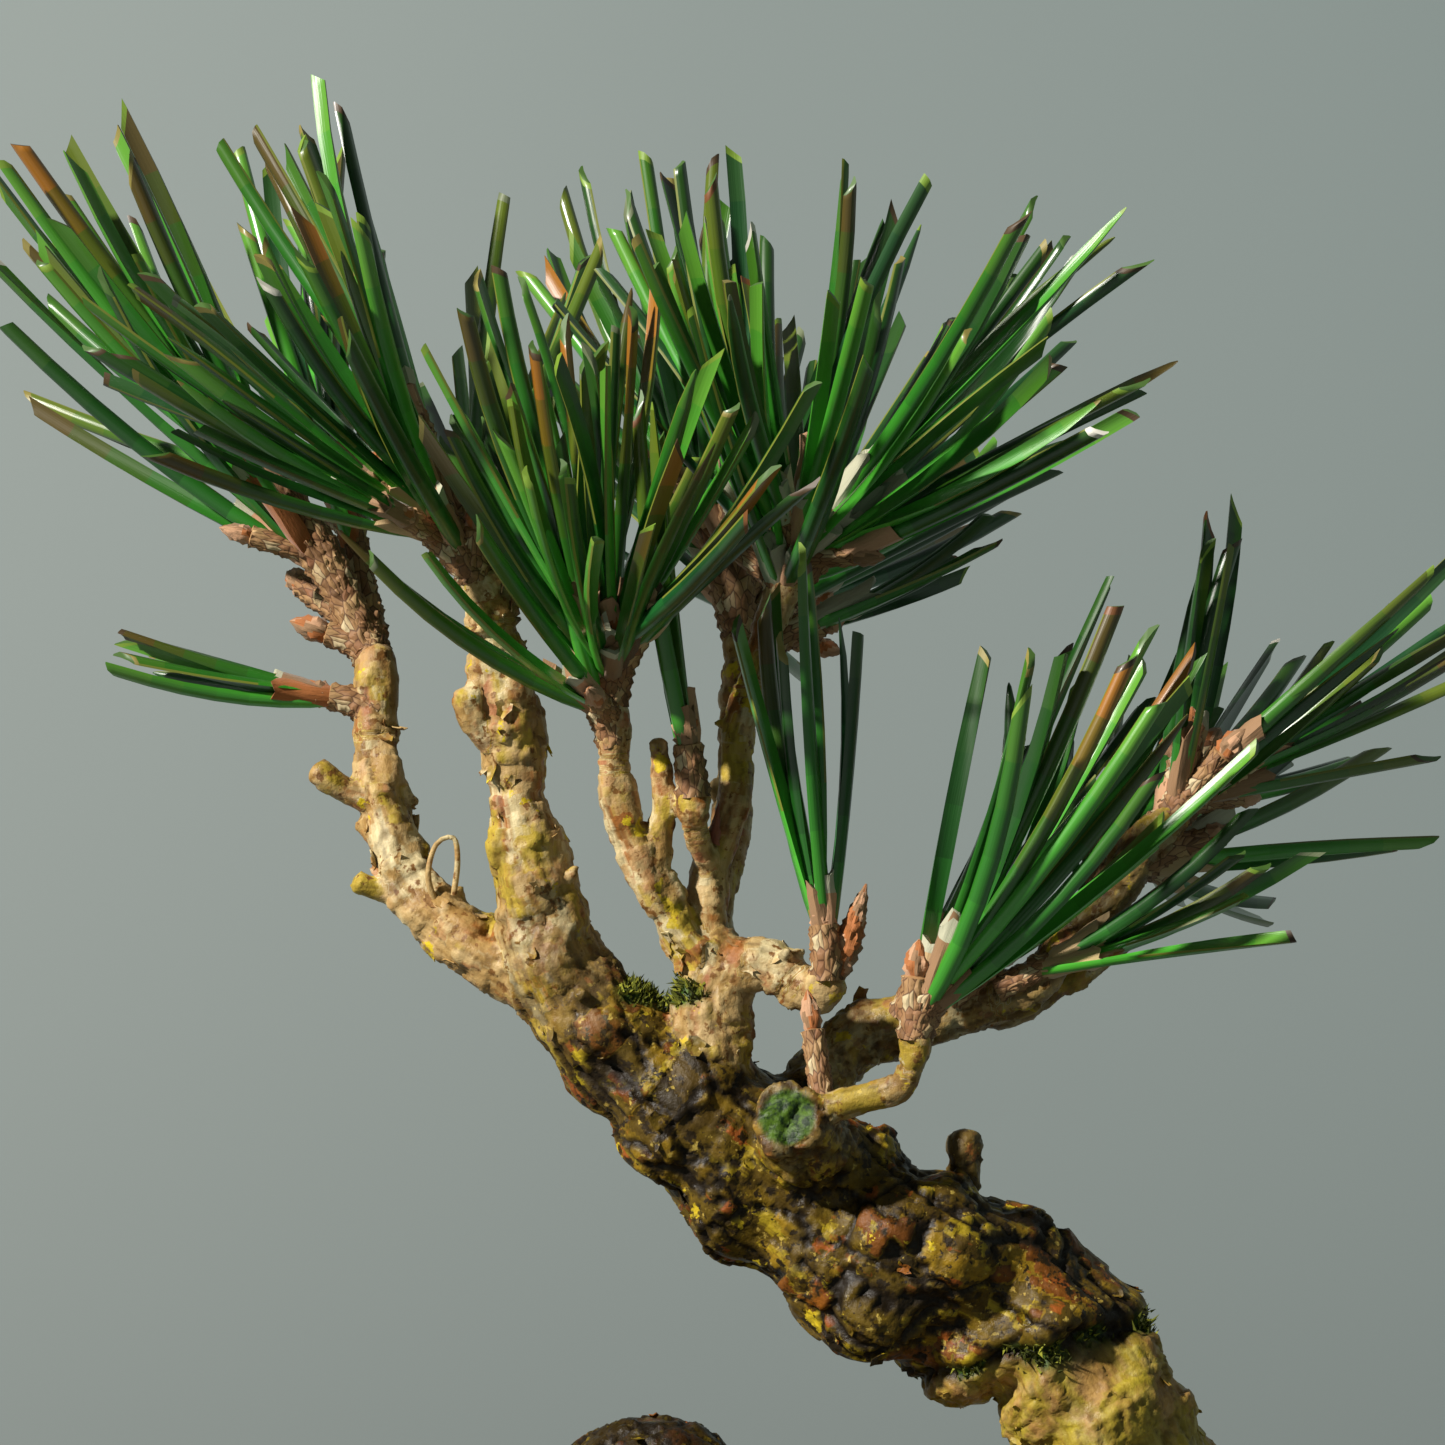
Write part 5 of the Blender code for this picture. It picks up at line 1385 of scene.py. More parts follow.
wood = Pile()
axis_rows = {}
for name, spec in LIMBS.items():
    rows = smooth_rows(spec["points"], FINE_STEP)
    closed_tube(wood, rows, FINE_SIDES, spec["lump"], spec["seed"], spec.get("knobs", 0),
                flared=name == "trunk_foot")
    axis_rows[name] = [rows]
    for points in spec.get("stubs", []):
        stub = smooth_rows(points, 0.5)
        closed_tube(wood, rounded_end(stub), STUB_SIDES, 0.05, spec["seed"] + 1)
        axis_rows[name].append(stub)
for points in COLLARS:
    closed_tube(wood, smooth_rows(points, FINE_STEP), COLLAR_SIDES)
for name, spec in MASSES.items():
    bough_end = smooth_rows(LIMBS[spec["bough"]]["points"], 1.0)[-2:-1]
    stem = smooth_rows(np.vstack([bough_end, crown[name][0]]), 0.6)
    closed_tube(wood, rounded_end(stem), STUB_SIDES, 0.07, spec["seed"])
    axis_rows[spec["bough"]].append(stem)
peg_rng = np.random.default_rng(77)
bough_names = [name for name in LIMBS if name.startswith("bough") and name != "bough_low"]
for k in range(PEGS):
    closed_tube(wood, peg_rows(bough_names[k % len(bough_names)], peg_rng), PEG_SIDES)
print(len(LIMBS), "limbs,", len(MASSES), "stems and", PEGS, "pegs")


# %% [markdown]
# Tubes that only pass through each other show a hard seam at every fork, but bark runs
# on without one. A voxel remesh draws an even skin of small squares round all of them.
# Moving each point towards the mean of its neighbours then takes away its tiny steps.

# %% One skin
SMOOTHING = 0.6


def remeshed(pile, voxel):
    """Points and quads of the pile's shapes joined by a voxel remesh, in millimetres."""
    rough = pile.piece("rough_wood", [], 180.0)
    rough.data.transform(((1 / MM, 0, 0, 0), (0, 1 / MM, 0, 0), (0, 0, 1 / MM, 0), (0, 0, 0, 1)))
    modifier = rough.modifiers.new("remesh", "REMESH")
    modifier.mode = "VOXEL"
    modifier.voxel_size = voxel
    modifier.adaptivity = 0.0
    skin = bpy.data.meshes.new_from_object(rough.evaluated_get(bpy.context.evaluated_depsgraph_get()))
    points = read_points(skin)
    corners = np.empty(len(skin.loops), np.int32)
    skin.loops.foreach_get("vertex_index", corners)
    totals = np.empty(len(skin.polygons), np.int32)
    skin.polygons.foreach_get("loop_total", totals)
    assert (totals == 4).all()
    bpy.data.objects.remove(rough, do_unlink=True)
    bpy.data.meshes.remove(skin)
    return points, corners.reshape(-1, 4)


def neighbours_of(quads):
    """Both ends of every edge of the quads, both ways round."""
    edges = np.concatenate([quads[:, [k, (k + 1) % 4]] for k in range(4)])
    edges = np.unique(np.sort(edges, axis=1), axis=0)
    return np.concatenate([edges[:, 0], edges[:, 1]]), np.concatenate([edges[:, 1], edges[:, 0]])


def spread(values, ends):
    """Mean of the values over each point's neighbours, a column at a time."""
    first, second = ends
    count = len(values)
    degree = np.bincount(first, minlength=count)
    columns = values.reshape(count, -1).T
    return np.stack([np.bincount(first, column[second], count) / degree
                     for column in columns], axis=1).reshape(values.shape)


def normals_of(points, quads):
    """Unit normal of each point: the sum of its quads' cross products, made one long."""
    crosses = np.cross(points[quads[:, 2]] - points[quads[:, 0]],
                       points[quads[:, 3]] - points[quads[:, 1]])
    total = np.stack([np.bincount(quads.ravel(), np.repeat(column, 4), len(points))
                      for column in crosses.T], axis=1)
    return total / np.maximum(lengths_of(total), 1e-12)


skin_points, skin_quads = remeshed(wood, BARK_VOXEL)
skin_ends = neighbours_of(skin_quads)
for _ in range(3):
    skin_points += SMOOTHING * (spread(skin_points, skin_ends) - skin_points)
print("skin of", len(skin_quads), "quads")

# %% [markdown]
# Bark is drawn along its limb, not along X, Y and Z. So each point of the skin is given
# the limb it belongs to, its run along it and its place across it, as if the limb had
# been pulled straight. Cracks and rings that are drawn in that straight space follow
# every bend. Where two limbs are nearly as close, they meet, and the wood is smoothed
# there, as new wood fills a fork.

# %% Places along the limbs
# Each limb and each stub starts its run further on, so that no two show the same bark.
LIMB_SHIFT, STUB_SHIFT = 61.0, 17.0
# How many points are measured at a time, to keep the arrays small.
CHUNK = 4000
OUT_OF_REACH = 99.0


def limb_places(points):
    """For each point: limb radius, run along it, place across it (two), limb and joint share."""
    rows, runs, sides, ups, owners = [], [], [], [], []
    for number, tubes in enumerate(axis_rows.values()):
        for tube_number, axis in enumerate(tubes):
            _, across, up = frames_along(axis[:, :3])
            rows.append(axis)
            runs.append(run_along(axis[:, :3]) + LIMB_SHIFT * number + STUB_SHIFT * tube_number)
            sides.append(across)
            ups.append(up)
            owners.append(np.full(len(axis), number))
    rows, runs, sides, ups, owners = (np.concatenate(each)
                                      for each in (rows, runs, sides, ups, owners))
    nearest = np.empty(len(points), int)
    joint = np.empty(len(points))
    for start in range(0, len(points), CHUNK):
        part = points[start:start + CHUNK]
        square = ((part ** 2).sum(1)[:, None] + (rows[:, :3] ** 2).sum(1)[None]
                  - 2 * part @ rows[:, :3].T)
        relative = square / rows[:, 3] ** 2
        best = relative.argmin(1)
        nearest[start:start + CHUNK] = best
        others = np.where(owners[None] == owners[best][:, None], OUT_OF_REACH, relative).min(1)
        joint[start:start + CHUNK] = np.sqrt(np.maximum(others, 0)) - np.sqrt(relative.min(1))
    offset = points - rows[nearest, :3]
    return (rows[nearest, 3], runs[nearest], (offset * sides[nearest]).sum(1),
            (offset * ups[nearest]).sum(1), owners[nearest], joint)


def ramp(values, low, high):
    """0 below low, 1 above high and a smooth 3 t^2 - 2 t^3 between."""
    t = np.clip((values - low) / (high - low), 0.0, 1.0)
    return t * t * (3 - 2 * t)


thick, run, place_x, place_y, owner, joint = limb_places(skin_points)
blend = (1 - ramp(joint, 0.15, 0.6))[:, None]
for _ in range(40):
    skin_points += SMOOTHING * blend * (spread(skin_points, skin_ends) - skin_points)
for _ in range(6):
    thick = 0.4 * thick + 0.6 * spread(thick, skin_ends)
print("limbs", round(float(thick.min()), 2), "to", round(float(thick.max()), 2), "mm in radius")


# %% [markdown]
# Two patterns make the relief: smooth noise for lumps and fibres, and cells for plates with cracks
# between them. Blender's own noise can't be read back out of a material, so both are worked out here,
# where one set of numbers moves the points and also colours them. A crack is then dark exactly where it
# is deep: partly the fissure's own dark bark and partly painted shade.

# %% Noise in numpy
def scatter(cells, seed):
    """A number from 0 to 1 for each whole-number cell, from a sine hash of its three numbers."""
    mixed = np.sin(cells @ np.array([127.1, 311.7, 74.7]) + seed * 17.31) * 43758.5453
    return mixed - np.floor(mixed)


def value_noise(points, seed):
    """Smooth noise from 0 to 1: the eight corners of each cell mixed by 3 t^2 - 2 t^3."""
    cell = np.floor(points)
    t = points - cell
    t = t * t * (3 - 2 * t)
    total = np.zeros(len(points))
    for corner in np.ndindex(2, 2, 2):
        share = np.prod(np.where(np.array(corner), t, 1 - t), axis=1)
        total += share * scatter(cell + corner, seed)
    return total


def rough_noise(points, seed, octaves):
    """Noise of several sizes, each half as large and half as high as the one before."""
    total, size = 0.0, 0.0
    for octave in range(octaves):
        total = total + value_noise(points * 2 ** octave, seed + octave) / 2 ** octave
        size += 1 / 2 ** octave
    return total / size


def plates(points, seed):
    """Cells of bark: distance from the crack (second nearest - nearest seed), a number, a lean."""
    cell = np.floor(points)
    first = np.full(len(points), 9.0)
    second = np.full(len(points), 9.0)
    number = np.zeros(len(points))
    lean = np.zeros(len(points))
    for corner in np.ndindex(3, 3, 3):
        there = cell + np.array(corner) - 1
        jitter = np.stack([scatter(there, seed + k) for k in range(3)], axis=1)
        offset = points - there - jitter
        distance = np.sqrt((offset ** 2).sum(1))
        nearer = distance < first
        second = np.where(nearer, first, np.minimum(second, distance))
        first = np.where(nearer, distance, first)
        number = np.where(nearer, scatter(there, seed + 9), number)
        tip_x, tip_y = scatter(there, seed + 11) - 0.5, scatter(there, seed + 12) - 0.5
        lean = np.where(nearer, 2 * (offset[:, 0] * tip_x + offset[:, 1] * tip_y), lean)
    return second - first, number, lean


print("noise at one place:", value_noise(np.array([[0.3, 0.6, 0.9]]), 1).round(3))


# %% [markdown]
# Old bark gets plates of two sizes with narrow cracks, young bark gets rings, small
# scales and fine wrinkles. The limb's own radius says how old it is. Low on the trunk a
# graft shows: the upper wood overhangs the lower, with a mossy crack between them and
# paler bark below. The heights are in millimetres, judged from the photograph.

# %% Patterns along the bark
straight = np.stack([run, place_x, place_y], axis=1)
wobble = np.stack([value_noise(straight / 3.1, 40 + k) - 0.5 for k in range(3)], axis=1)
warped = straight + 2.2 * wobble
crack_large, number_large, lean_large = plates(warped / (5.2, 3.6, 3.6), 3)
crack_small, number_small, lean_small = plates(warped / (3.0, 1.9, 1.9), 13)
_, number_fine, lean_fine = plates((straight + 1.2 * wobble) / (1.3, 0.8, 0.8), 23)
lumps = rough_noise(straight / 7.0, 51, 2) - 0.5
fibres = rough_noise((straight + 0.8 * wobble) / (2.6, 0.55, 0.55), 57, 2) - 0.5
grit = rough_noise(skin_points / 0.9, 61, 3) - 0.5
folds = rough_noise((straight + 1.5 * wobble) / (2.4, 3.4, 3.4), 71, 3) - 0.5
rings = np.sin(run * 2 * math.pi / 2.3 + 8.0 * value_noise(straight / (5.0, 2.8, 2.8), 31))
rings = rings * value_noise(straight / (4.0, 3.0, 3.0), 33)
print("wide cracks on", round(100 * float((crack_large < 0.1).mean())), "% of the skin")

# %% Graft, age and painted shade
# A point of the graft's line, how much it climbs for each millimetre to the right, and
# the cosine of that slope, which turns a height above the line into a distance from it.
GRAFT_AT = (27.4, 72.9)
GRAFT_TILT = 0.217
GRAFT_COSINE = 0.977

graft = (((skin_points[:, 2] - GRAFT_AT[1]) - GRAFT_TILT * (skin_points[:, 0] - GRAFT_AT[0]))
         * GRAFT_COSINE + 2.2 * (value_noise(skin_points / 3.4, 66) - 0.5))
on_trunk = (owner <= NUMBER["trunk_top"]) * ramp(skin_points[:, 0], 14.0, 20.0)
graft_crack = on_trunk * np.exp(-(graft / 0.55) ** 2) * (np.abs(graft) < 4)
above_graft = on_trunk * np.exp(-((graft - 1.6) / 1.2) ** 2)
below_graft = on_trunk * ramp(-graft, 0.2, 1.2) * (1 - ramp(-graft, 14.0, 30.0))
on_stub = owner == NUMBER["front_stub"]
age_and_shade = ramp(thick, 2.5, 4.8)
age_and_shade = np.maximum(age_and_shade, 0.75 * on_stub)
age_and_shade = np.maximum(age_and_shade, 0.8 * ((owner == NUMBER["trunk_top"]) & (skin_points[:, 0] > 12)))
# Painted shade: the right bough is given some old, dark bark, as if shaded by the needles above it, and
# so some of old bark's relief too.
age_and_shade = np.maximum(age_and_shade, 0.45 * (owner == NUMBER["bough_right"]))
age_and_shade = age_and_shade * (1 - 0.75 * below_graft)
print("mean age of the bark", round(float(age_and_shade.mean()), 2))

# %% Relief of the bark
# The trunk's foot meets the soil with a clean cut, so the relief fades out above it.
FOOT_FADE = 1.2
# The healed knob of the trunk's foot is painted nearly black, mostly painted shade over its dark bark:
# its middle and how far that reaches.
SHADED_KNOB = (-2.2, -2.0, 67.5)
SHADED_KNOB_REACH = (4.0, 9.0)

old_height = (1.0 * lumps + 0.5 * folds
              + 0.4 * (number_large - 0.5) + 0.3 * lean_large
              - 0.4 * (1 - ramp(crack_large, 0.0, 0.1))
              + 0.18 * (number_small - 0.5) + 0.2 * lean_small
              - 0.12 * (1 - ramp(crack_small, 0.0, 0.12))
              + 0.14 * lean_fine + 0.14 * fibres + 0.14 * grit)
young_height = (0.9 * lumps + 1.1 * folds + 0.2 * rings
                + 0.24 * (number_small - 0.5) + 0.26 * lean_small
                - 0.12 * (1 - ramp(crack_small, 0.0, 0.08))
                + 0.08 * lean_fine + 0.07 * fibres + 0.05 * grit)
scale_down = np.clip(thick / 2.4, 0.4, 1.0)
height = age_and_shade * old_height + (1 - age_and_shade) * young_height * scale_down
height += 0.35 * above_graft - 0.9 * graft_crack - 0.2 * below_graft
foot_fade = ramp(skin_points[:, 2], TRUNK_CUT, TRUNK_CUT + FOOT_FADE)
bark_points = skin_points + normals_of(skin_points, skin_quads) * (height * foot_fade)[:, None]
bark_points += 0.2 * (spread(bark_points, skin_ends) - bark_points)
# The crack share is painted dark: partly the fissures' own dark bark, partly painted shade in the
# recesses.
cracks = np.maximum(age_and_shade * (1 - ramp(crack_large, 0.03, 0.16)),
                    (0.5 + 0.1 * age_and_shade) * (1 - ramp(crack_small, 0.0, 0.09)))
cracks = np.maximum(cracks, graft_crack)
# Painted shade: the knob is darkened through the crack colour, up to 0.85 of it.
from_knob = lengths_of(skin_points - SHADED_KNOB)[:, 0]
cracks = np.maximum(cracks, 0.85 * (1 - ramp(from_knob, *SHADED_KNOB_REACH)))
print("relief from", round(float(height.min()), 2), "to", round(float(height.max()), 2), "mm")


# %% [markdown]
# The bark's colour comes from its age and its relief. Young wood is straw and tan, with cream where the
# sun catches it. Old bark is brown and nearly black in its cracks, where the dark is partly the
# fissures' own bark and partly painted shade, with rust where a plate has fallen and yellow lichen on
# the lit side. The right bough is painted darker as old bark, a painted shade. The numbers that say so
# are stored on each point, and the material mixes plain hex colours by them.

# %% Bark numbers and patches
bark, tree, shader = finish_named("flaking_pine_bark", Specular_IOR_Level=0.22)
spot = add(tree, "TexCoord").outputs["Object"]
pulled = add(tree, "Attribute", attribute_name="straight").outputs["Vector"]
stored = {name: add(tree, "Attribute", attribute_name=name).outputs["Fac"]
          for name in ("age_and_shade", "crack", "plate", "graft", "lichen", "moss")}


def patches(size_mm, low, high, seed, detail=4.0, stretch=0.0):
    """Noise patches of a size, as a share that rises from low to high. With a stretch they
    are drawn along the limb as if it were pulled straight, and without one in space."""
    scale = 1.0 / size_mm if stretch else PER_MM / size_mm
    moved = add(tree, "Mapping", {0: pulled if stretch else spot,
                                  "Location": (seed * 3.7, seed * 5.3, seed * 2.9),
                                  "Scale": (scale / (stretch or 1.0), scale, scale)})
    noise = add(tree, "TexNoise", {0: moved.outputs[0], "Scale": 1.0, "Detail": detail,
                                   "Roughness": 0.6})
    return add(tree, "MapRange", {0: noise.outputs[0], 1: low, 2: high}).outputs[0]


def layered(tree, base, layers):
    """A colour with others laid over it, each where its share is high: (share, colour)."""
    for share, colour in layers:
        base = add(tree, "MixRGB", {0: share, 1: base, 2: colour}).outputs[0]
    return base


print(len(stored), "numbers on each point of the bark")


# %% Young and old bark
# Patches over the tone of a plate: size in millimetres, the noise values between which
# they fade in, seed, detail, stretch and colour.
YOUNG_PATCHES = [
    (5.5, 0.53, 0.6, 1, 4.0, 1.3, "#b39b3c"), (3.6, 0.55, 0.63, 2, 4.0, 1.3, "#96602d"),
    (3.0, 0.54, 0.6, 3, 4.0, 1.4, "#cdbd92"), (3.4, 0.6, 0.68, 12, 4.0, 1.2, "#a8724c"),
    (1.0, 0.58, 0.63, 21, 6.0, 0.0, "#7d572c")]
OLD_PATCHES = [
    (4.0, 0.49, 0.55, 4, 4.0, 1.3, "#5f4c12"), (2.6, 0.58, 0.62, 5, 4.0, 1.5, "#a08a20"),
    (2.2, 0.61, 0.65, 6, 4.0, 1.4, "#93501b"), (3.4, 0.6, 0.66, 13, 4.0, 0.0, "#261d0a"),
    (0.9, 0.56, 0.6, 22, 6.0, 0.0, "#2a1f0b"), (0.8, 0.62, 0.66, 23, 6.0, 0.0, "#b29a48")]

young_tone = add(tree, "ValToRGB", {0: stored["plate"]}, stops=[
    (0.0, "#8f6c3a"), (0.22, "#a5844e"), (0.45, "#b59764"), (0.7, "#c0a675"), (0.88, "#a87c50"),
    (1.0, "#988038")])
old_tone = add(tree, "ValToRGB", {0: stored["plate"]}, stops=[
    (0.0, "#302509"), (0.16, "#4c3b12"), (0.32, "#6e5711"), (0.46, "#52400f"), (0.6, "#876b16"),
    (0.74, "#6f4110"), (0.86, "#854f16"), (1.0, "#483610")])
old_tone.color_ramp.interpolation = "CONSTANT"
young = layered(tree, young_tone.outputs[0],
                [(patches(*pattern), colour) for *pattern, colour in YOUNG_PATCHES])
old = layered(tree, old_tone.outputs[0],
              [(patches(*pattern), colour) for *pattern, colour in OLD_PATCHES])
print(len(YOUNG_PATCHES), "patches on young bark,", len(OLD_PATCHES), "on old bark")

# %% Bark finish
lichen_here = add(tree, "Math", {0: patches(3.0, 0.62, 0.635, 7, 6.0), 1: stored["lichen"]},
                  operation="MULTIPLY").outputs[0]
graft_tone = layered(tree, "#9f8f28", [(patches(3.0, 0.45, 0.6, 14, stretch=1.6), "#a37e44")])
wood_tone = layered(tree, young, [(stored["age_and_shade"], old), (lichen_here, "#cdb428"),
                                  (stored["graft"], graft_tone)])
fibre_tone = layered(tree, "#d6cfc3", [(patches(0.45, 0.3, 0.62, 8, stretch=5.0), "#ffffff")])
wood_tone = add(tree, "MixRGB", {0: 1.0, 1: wood_tone, 2: fibre_tone}, blend_type="MULTIPLY").outputs[0]
# Crack colour, laid where the crack share is high: the fissures' own dark bark with painted shade, near
# black on old wood.
crack_tone_and_shade = layered(tree, "#3a230c", [(stored["age_and_shade"], "#191106")])
moss_tone = layered(tree, "#14280c", [(patches(0.6, 0.4, 0.6, 9), "#456018")])
wood_tone = layered(tree, wood_tone, [(stored["crack"], crack_tone_and_shade), (stored["moss"], moss_tone)])
tree.links.new(wood_tone, shader.inputs["Base Color"])
rough = add(tree, "MapRange", {0: patches(1.2, 0.35, 0.65, 10), 3: 0.3, 4: 0.66})
tree.links.new(rough.outputs[0], shader.inputs["Roughness"])
raised = add(tree, "Bump", {"Strength": 0.6, "Distance": 0.14 * MM,
                            "Height": patches(0.5, 0.2, 0.8, 15, 5.0)})
tree.links.new(raised.outputs[0], shader.inputs["Normal"])
print(len(tree.nodes), "nodes in", bark.name)

# %% [markdown]
# The skin is cut in two where the trunk's bend ends, because the frame has the trunk and the boughs as
# nodes of their own. Each half takes its points' numbers along, and the material reads them back: how
# old the wood is, with painted shade on the right bough, how deep in a crack, where the cracks are
# painted dark, which plate, and where lichen and moss grow. Moss keeps to damp places, so it sits in
# the crotch, in the graft's crack and round the rim of the cut stub.

# %% Lichen and moss on the bark
STUB_END = np.array(LIMBS["front_stub"]["points"][-1][:3])
STUB_AXIS = unit(STUB_END - np.array(LIMBS["front_stub"]["points"][-2][:3]))
CROTCH_MIDDLE, CROTCH_REACH = (-1.2, -2.0, 99.4), (4.4, 5.0, 1.4)

lichen_share = ramp(value_noise(skin_points / 9.0, 71), 0.3, 0.5)
from_crotch = np.linalg.norm((skin_points - CROTCH_MIDDLE) / CROTCH_REACH, axis=1)
in_graft = graft_crack * ramp(value_noise(skin_points / 2.0, 83), 0.35, 0.5)
tufted = np.maximum(1 - ramp(from_crotch, 0.6, 1.1), in_graft)
from_end = skin_points - STUB_END
from_axis = lengths_of(np.cross(from_end, STUB_AXIS))[:, 0]
on_face = (from_end @ STUB_AXIS > -0.7) & (from_axis < 3.0) & on_stub
moss_share = np.maximum(tufted, on_face * (1 - ramp(from_axis, 1.9, 2.3)))
plate_number = (np.clip(0.6 * number_large + 0.4 * number_small, 0, 1) * age_and_shade
                + (1 - age_and_shade) * (0.65 * number_small + 0.35 * number_fine))
# The front twig is thin, but its bark is half grown over with old scales.
twig_age = 0.4 * (owner == NUMBER["front_twig"])
kept_numbers = {"age_and_shade": np.maximum(age_and_shade, twig_age), "crack": cracks, "plate": plate_number,
                "graft": 0.8 * below_graft, "lichen": lichen_share, "moss": moss_share}
print("moss on", int((moss_share > 0.5).sum()), "points of the bark")


# %% Bark pieces
LOWER = ("trunk_foot", "trunk_bend")


def bark_piece(name, chosen, nodes):
    """The skin's quads that are chosen, as a piece with the stored numbers of its points."""
    quads = skin_quads[chosen]
    used, index = np.unique(quads, return_inverse=True)
    made = mesh_piece(name, bark_points[used], index.reshape(-1, 4), materials=[bark],
                      smooth_angle=180.0)
    for label, values in kept_numbers.items():
        store(made, label, values[used])
    store(made, "straight", straight[used])
    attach(made, "root")
    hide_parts(*nodes)
    return made


low_quads = np.isin(owner[skin_quads], [NUMBER[name] for name in LOWER]).all(axis=1)
bark_piece("trunk_bark", low_quads, LOWER)
upper_nodes = [name for name in LIMBS if name not in LOWER]
bark_piece("bough_bark", ~low_quads, upper_nodes)
print("bark quads:", int(low_quads.sum()), "and", int((~low_quads).sum()))

# %% [markdown]
# Thin flakes curl off the bark before they fall, and they give the limbs their ragged
# outline. Each is a small curled plate of its own thickness, laid on a point of the skin
# and lifted at one edge, all of them joined in one mesh. Moss grows as tiny upright
# blades in the crotch and in the graft's crack.

# %% Flakes
FLAKES = 420
FLAKE_LENGTH = (0.4, 1.3)
FLAKE_THICK = 0.09
FLAKE_ROWS, FLAKE_COLUMNS = 4, 3
FLAKE_SINK = 0.12


def along_limb(points, number):
    """The limb's direction at a point of the skin, from the nearest row of its axis."""
    axis = list(axis_rows.values())[number][0]
    row = lengths_of(points - axis[:, :3])[:, 0].argmin()
    return frames_along(axis[:, :3])[0][row]


def flake_plates(places, normals, directions, rng):
    """Curled plates: (u length, v width, lift u^2 + curl v^2), a top, an under side and a rim."""
    count = len(places)
    u = np.linspace(0.0, 1.0, FLAKE_ROWS)[None, :, None]
    v = np.linspace(-1.0, 1.0, FLAKE_COLUMNS)[None, None, :]
    length = rng.uniform(*FLAKE_LENGTH, (count, 1, 1))
    width = length * rng.uniform(0.22, 0.5, (count, 1, 1))
    lift = length * rng.uniform(0.1, 0.55, (count, 1, 1))
    curl = width * rng.uniform(0.0, 0.5, (count, 1, 1))
    taper = 1 - rng.uniform(0.1, 0.7, (count, 1, 1)) * u ** 2
    frayed = 1 + 0.25 * rng.normal(size=(count, FLAKE_ROWS, FLAKE_COLUMNS))
    x = length * (u - 0.25) * (1 + 0.1 * rng.normal(size=(count, FLAKE_ROWS, FLAKE_COLUMNS)))
    y = width * v * taper * frayed
    z = lift * u ** 1.6 + curl * v ** 2 - FLAKE_SINK
    turn = rng.normal(0.0, 0.6, count)[:, None] + math.pi * rng.integers(0, 2, count)[:, None]
    side = units(np.cross(normals, directions))
    ahead = np.cross(side, normals)
    ahead, side = (ahead * np.cos(turn) + side * np.sin(turn),
                   side * np.cos(turn) - ahead * np.sin(turn))
    top = (places[:, None, None] + ahead[:, None, None] * x[..., None]
           + side[:, None, None] * y[..., None] + normals[:, None, None] * z[..., None])
    under = top - normals[:, None, None] * FLAKE_THICK
    return np.concatenate([top.reshape(count, -1, 3), under.reshape(count, -1, 3)], axis=1)


def flake_faces():
    """Quads of one plate: its top, its under side the other way round and its rim."""
    per_side = FLAKE_ROWS * FLAKE_COLUMNS
    top = grid(FLAKE_ROWS, FLAKE_COLUMNS, closed=False)
    place = np.arange(per_side).reshape(FLAKE_ROWS, FLAKE_COLUMNS)
    border = np.concatenate([place[0], place[1:, -1], place[-1, -2::-1], place[-2:0:-1, 0]])
    after = np.roll(border, -1)
    rim = np.stack([after, border, border + per_side, after + per_side], axis=1)
    return np.vstack([top, top[:, ::-1] + per_side, rim])


print("a flake has", len(flake_faces()), "quads")


# %% Flakes on the bark
flake_rng = np.random.default_rng(404)
bark_normals = normals_of(bark_points, skin_quads)
# Young wood sheds most. Thin twigs, the wood just above the soil and moss have no flakes.
wanted = (0.35 + 0.65 * (1 - age_and_shade)) * (thick > 1.6)
wanted = wanted * ramp(skin_points[:, 2], 36.0, 40.0) * (moss_share < 0.3)
picked = flake_rng.choice(len(bark_points), FLAKES, replace=False, p=wanted / wanted.sum())
directions = np.array([along_limb(bark_points[index], owner[index]) for index in picked])
flake_points = flake_plates(bark_points[picked], bark_normals[picked], directions, flake_rng)
per_flake = flake_points.shape[1]
flake_quads = (np.arange(FLAKES) * per_flake)[:, None, None] + flake_faces()[None]
flakes = mesh_piece("bark_flakes", flake_points.reshape(-1, 3), flake_quads, materials=[bark],
                    smooth_angle=45.0)
for label, values in kept_numbers.items():
    shown = values[picked] * (label not in ("crack", "moss"))
    if label == "plate":
        shown = flake_rng.random(FLAKES)
    store(flakes, label, np.repeat(shown, per_flake))
store(flakes, "straight", np.repeat(straight[picked], per_flake, axis=0)
      + (flake_points - flake_points[:, :1]).reshape(-1, 3))
print(FLAKES, "flakes of", per_flake, "points")

# %% Moss blades
MOSS_BLADES = 1500
MOSS_TONES = ["#343a0e", "#555a16", "#84862c"]
THIRD_OF_A_TURN = 2.0944
SPIKE = np.array([(0, 1, 3), (1, 2, 3), (2, 0, 3), (0, 2, 1)])


def moss_leaf(name, code):
    """Soft moss leaf of one green: dull all over, because each leaf is only a few cells thick."""
    made, tree, shader = finish_named(name, Base_Color=linear(code), Roughness=0.75,
                                      Sheen_Weight=0.05, Specular_IOR_Level=0.15)
    spot = add(tree, "TexCoord").outputs["Object"]
    roughen(tree, shader, spot, PER_MM / 0.3, 2.0, 0.5, 0.4, 0.05 * MM)
    return made


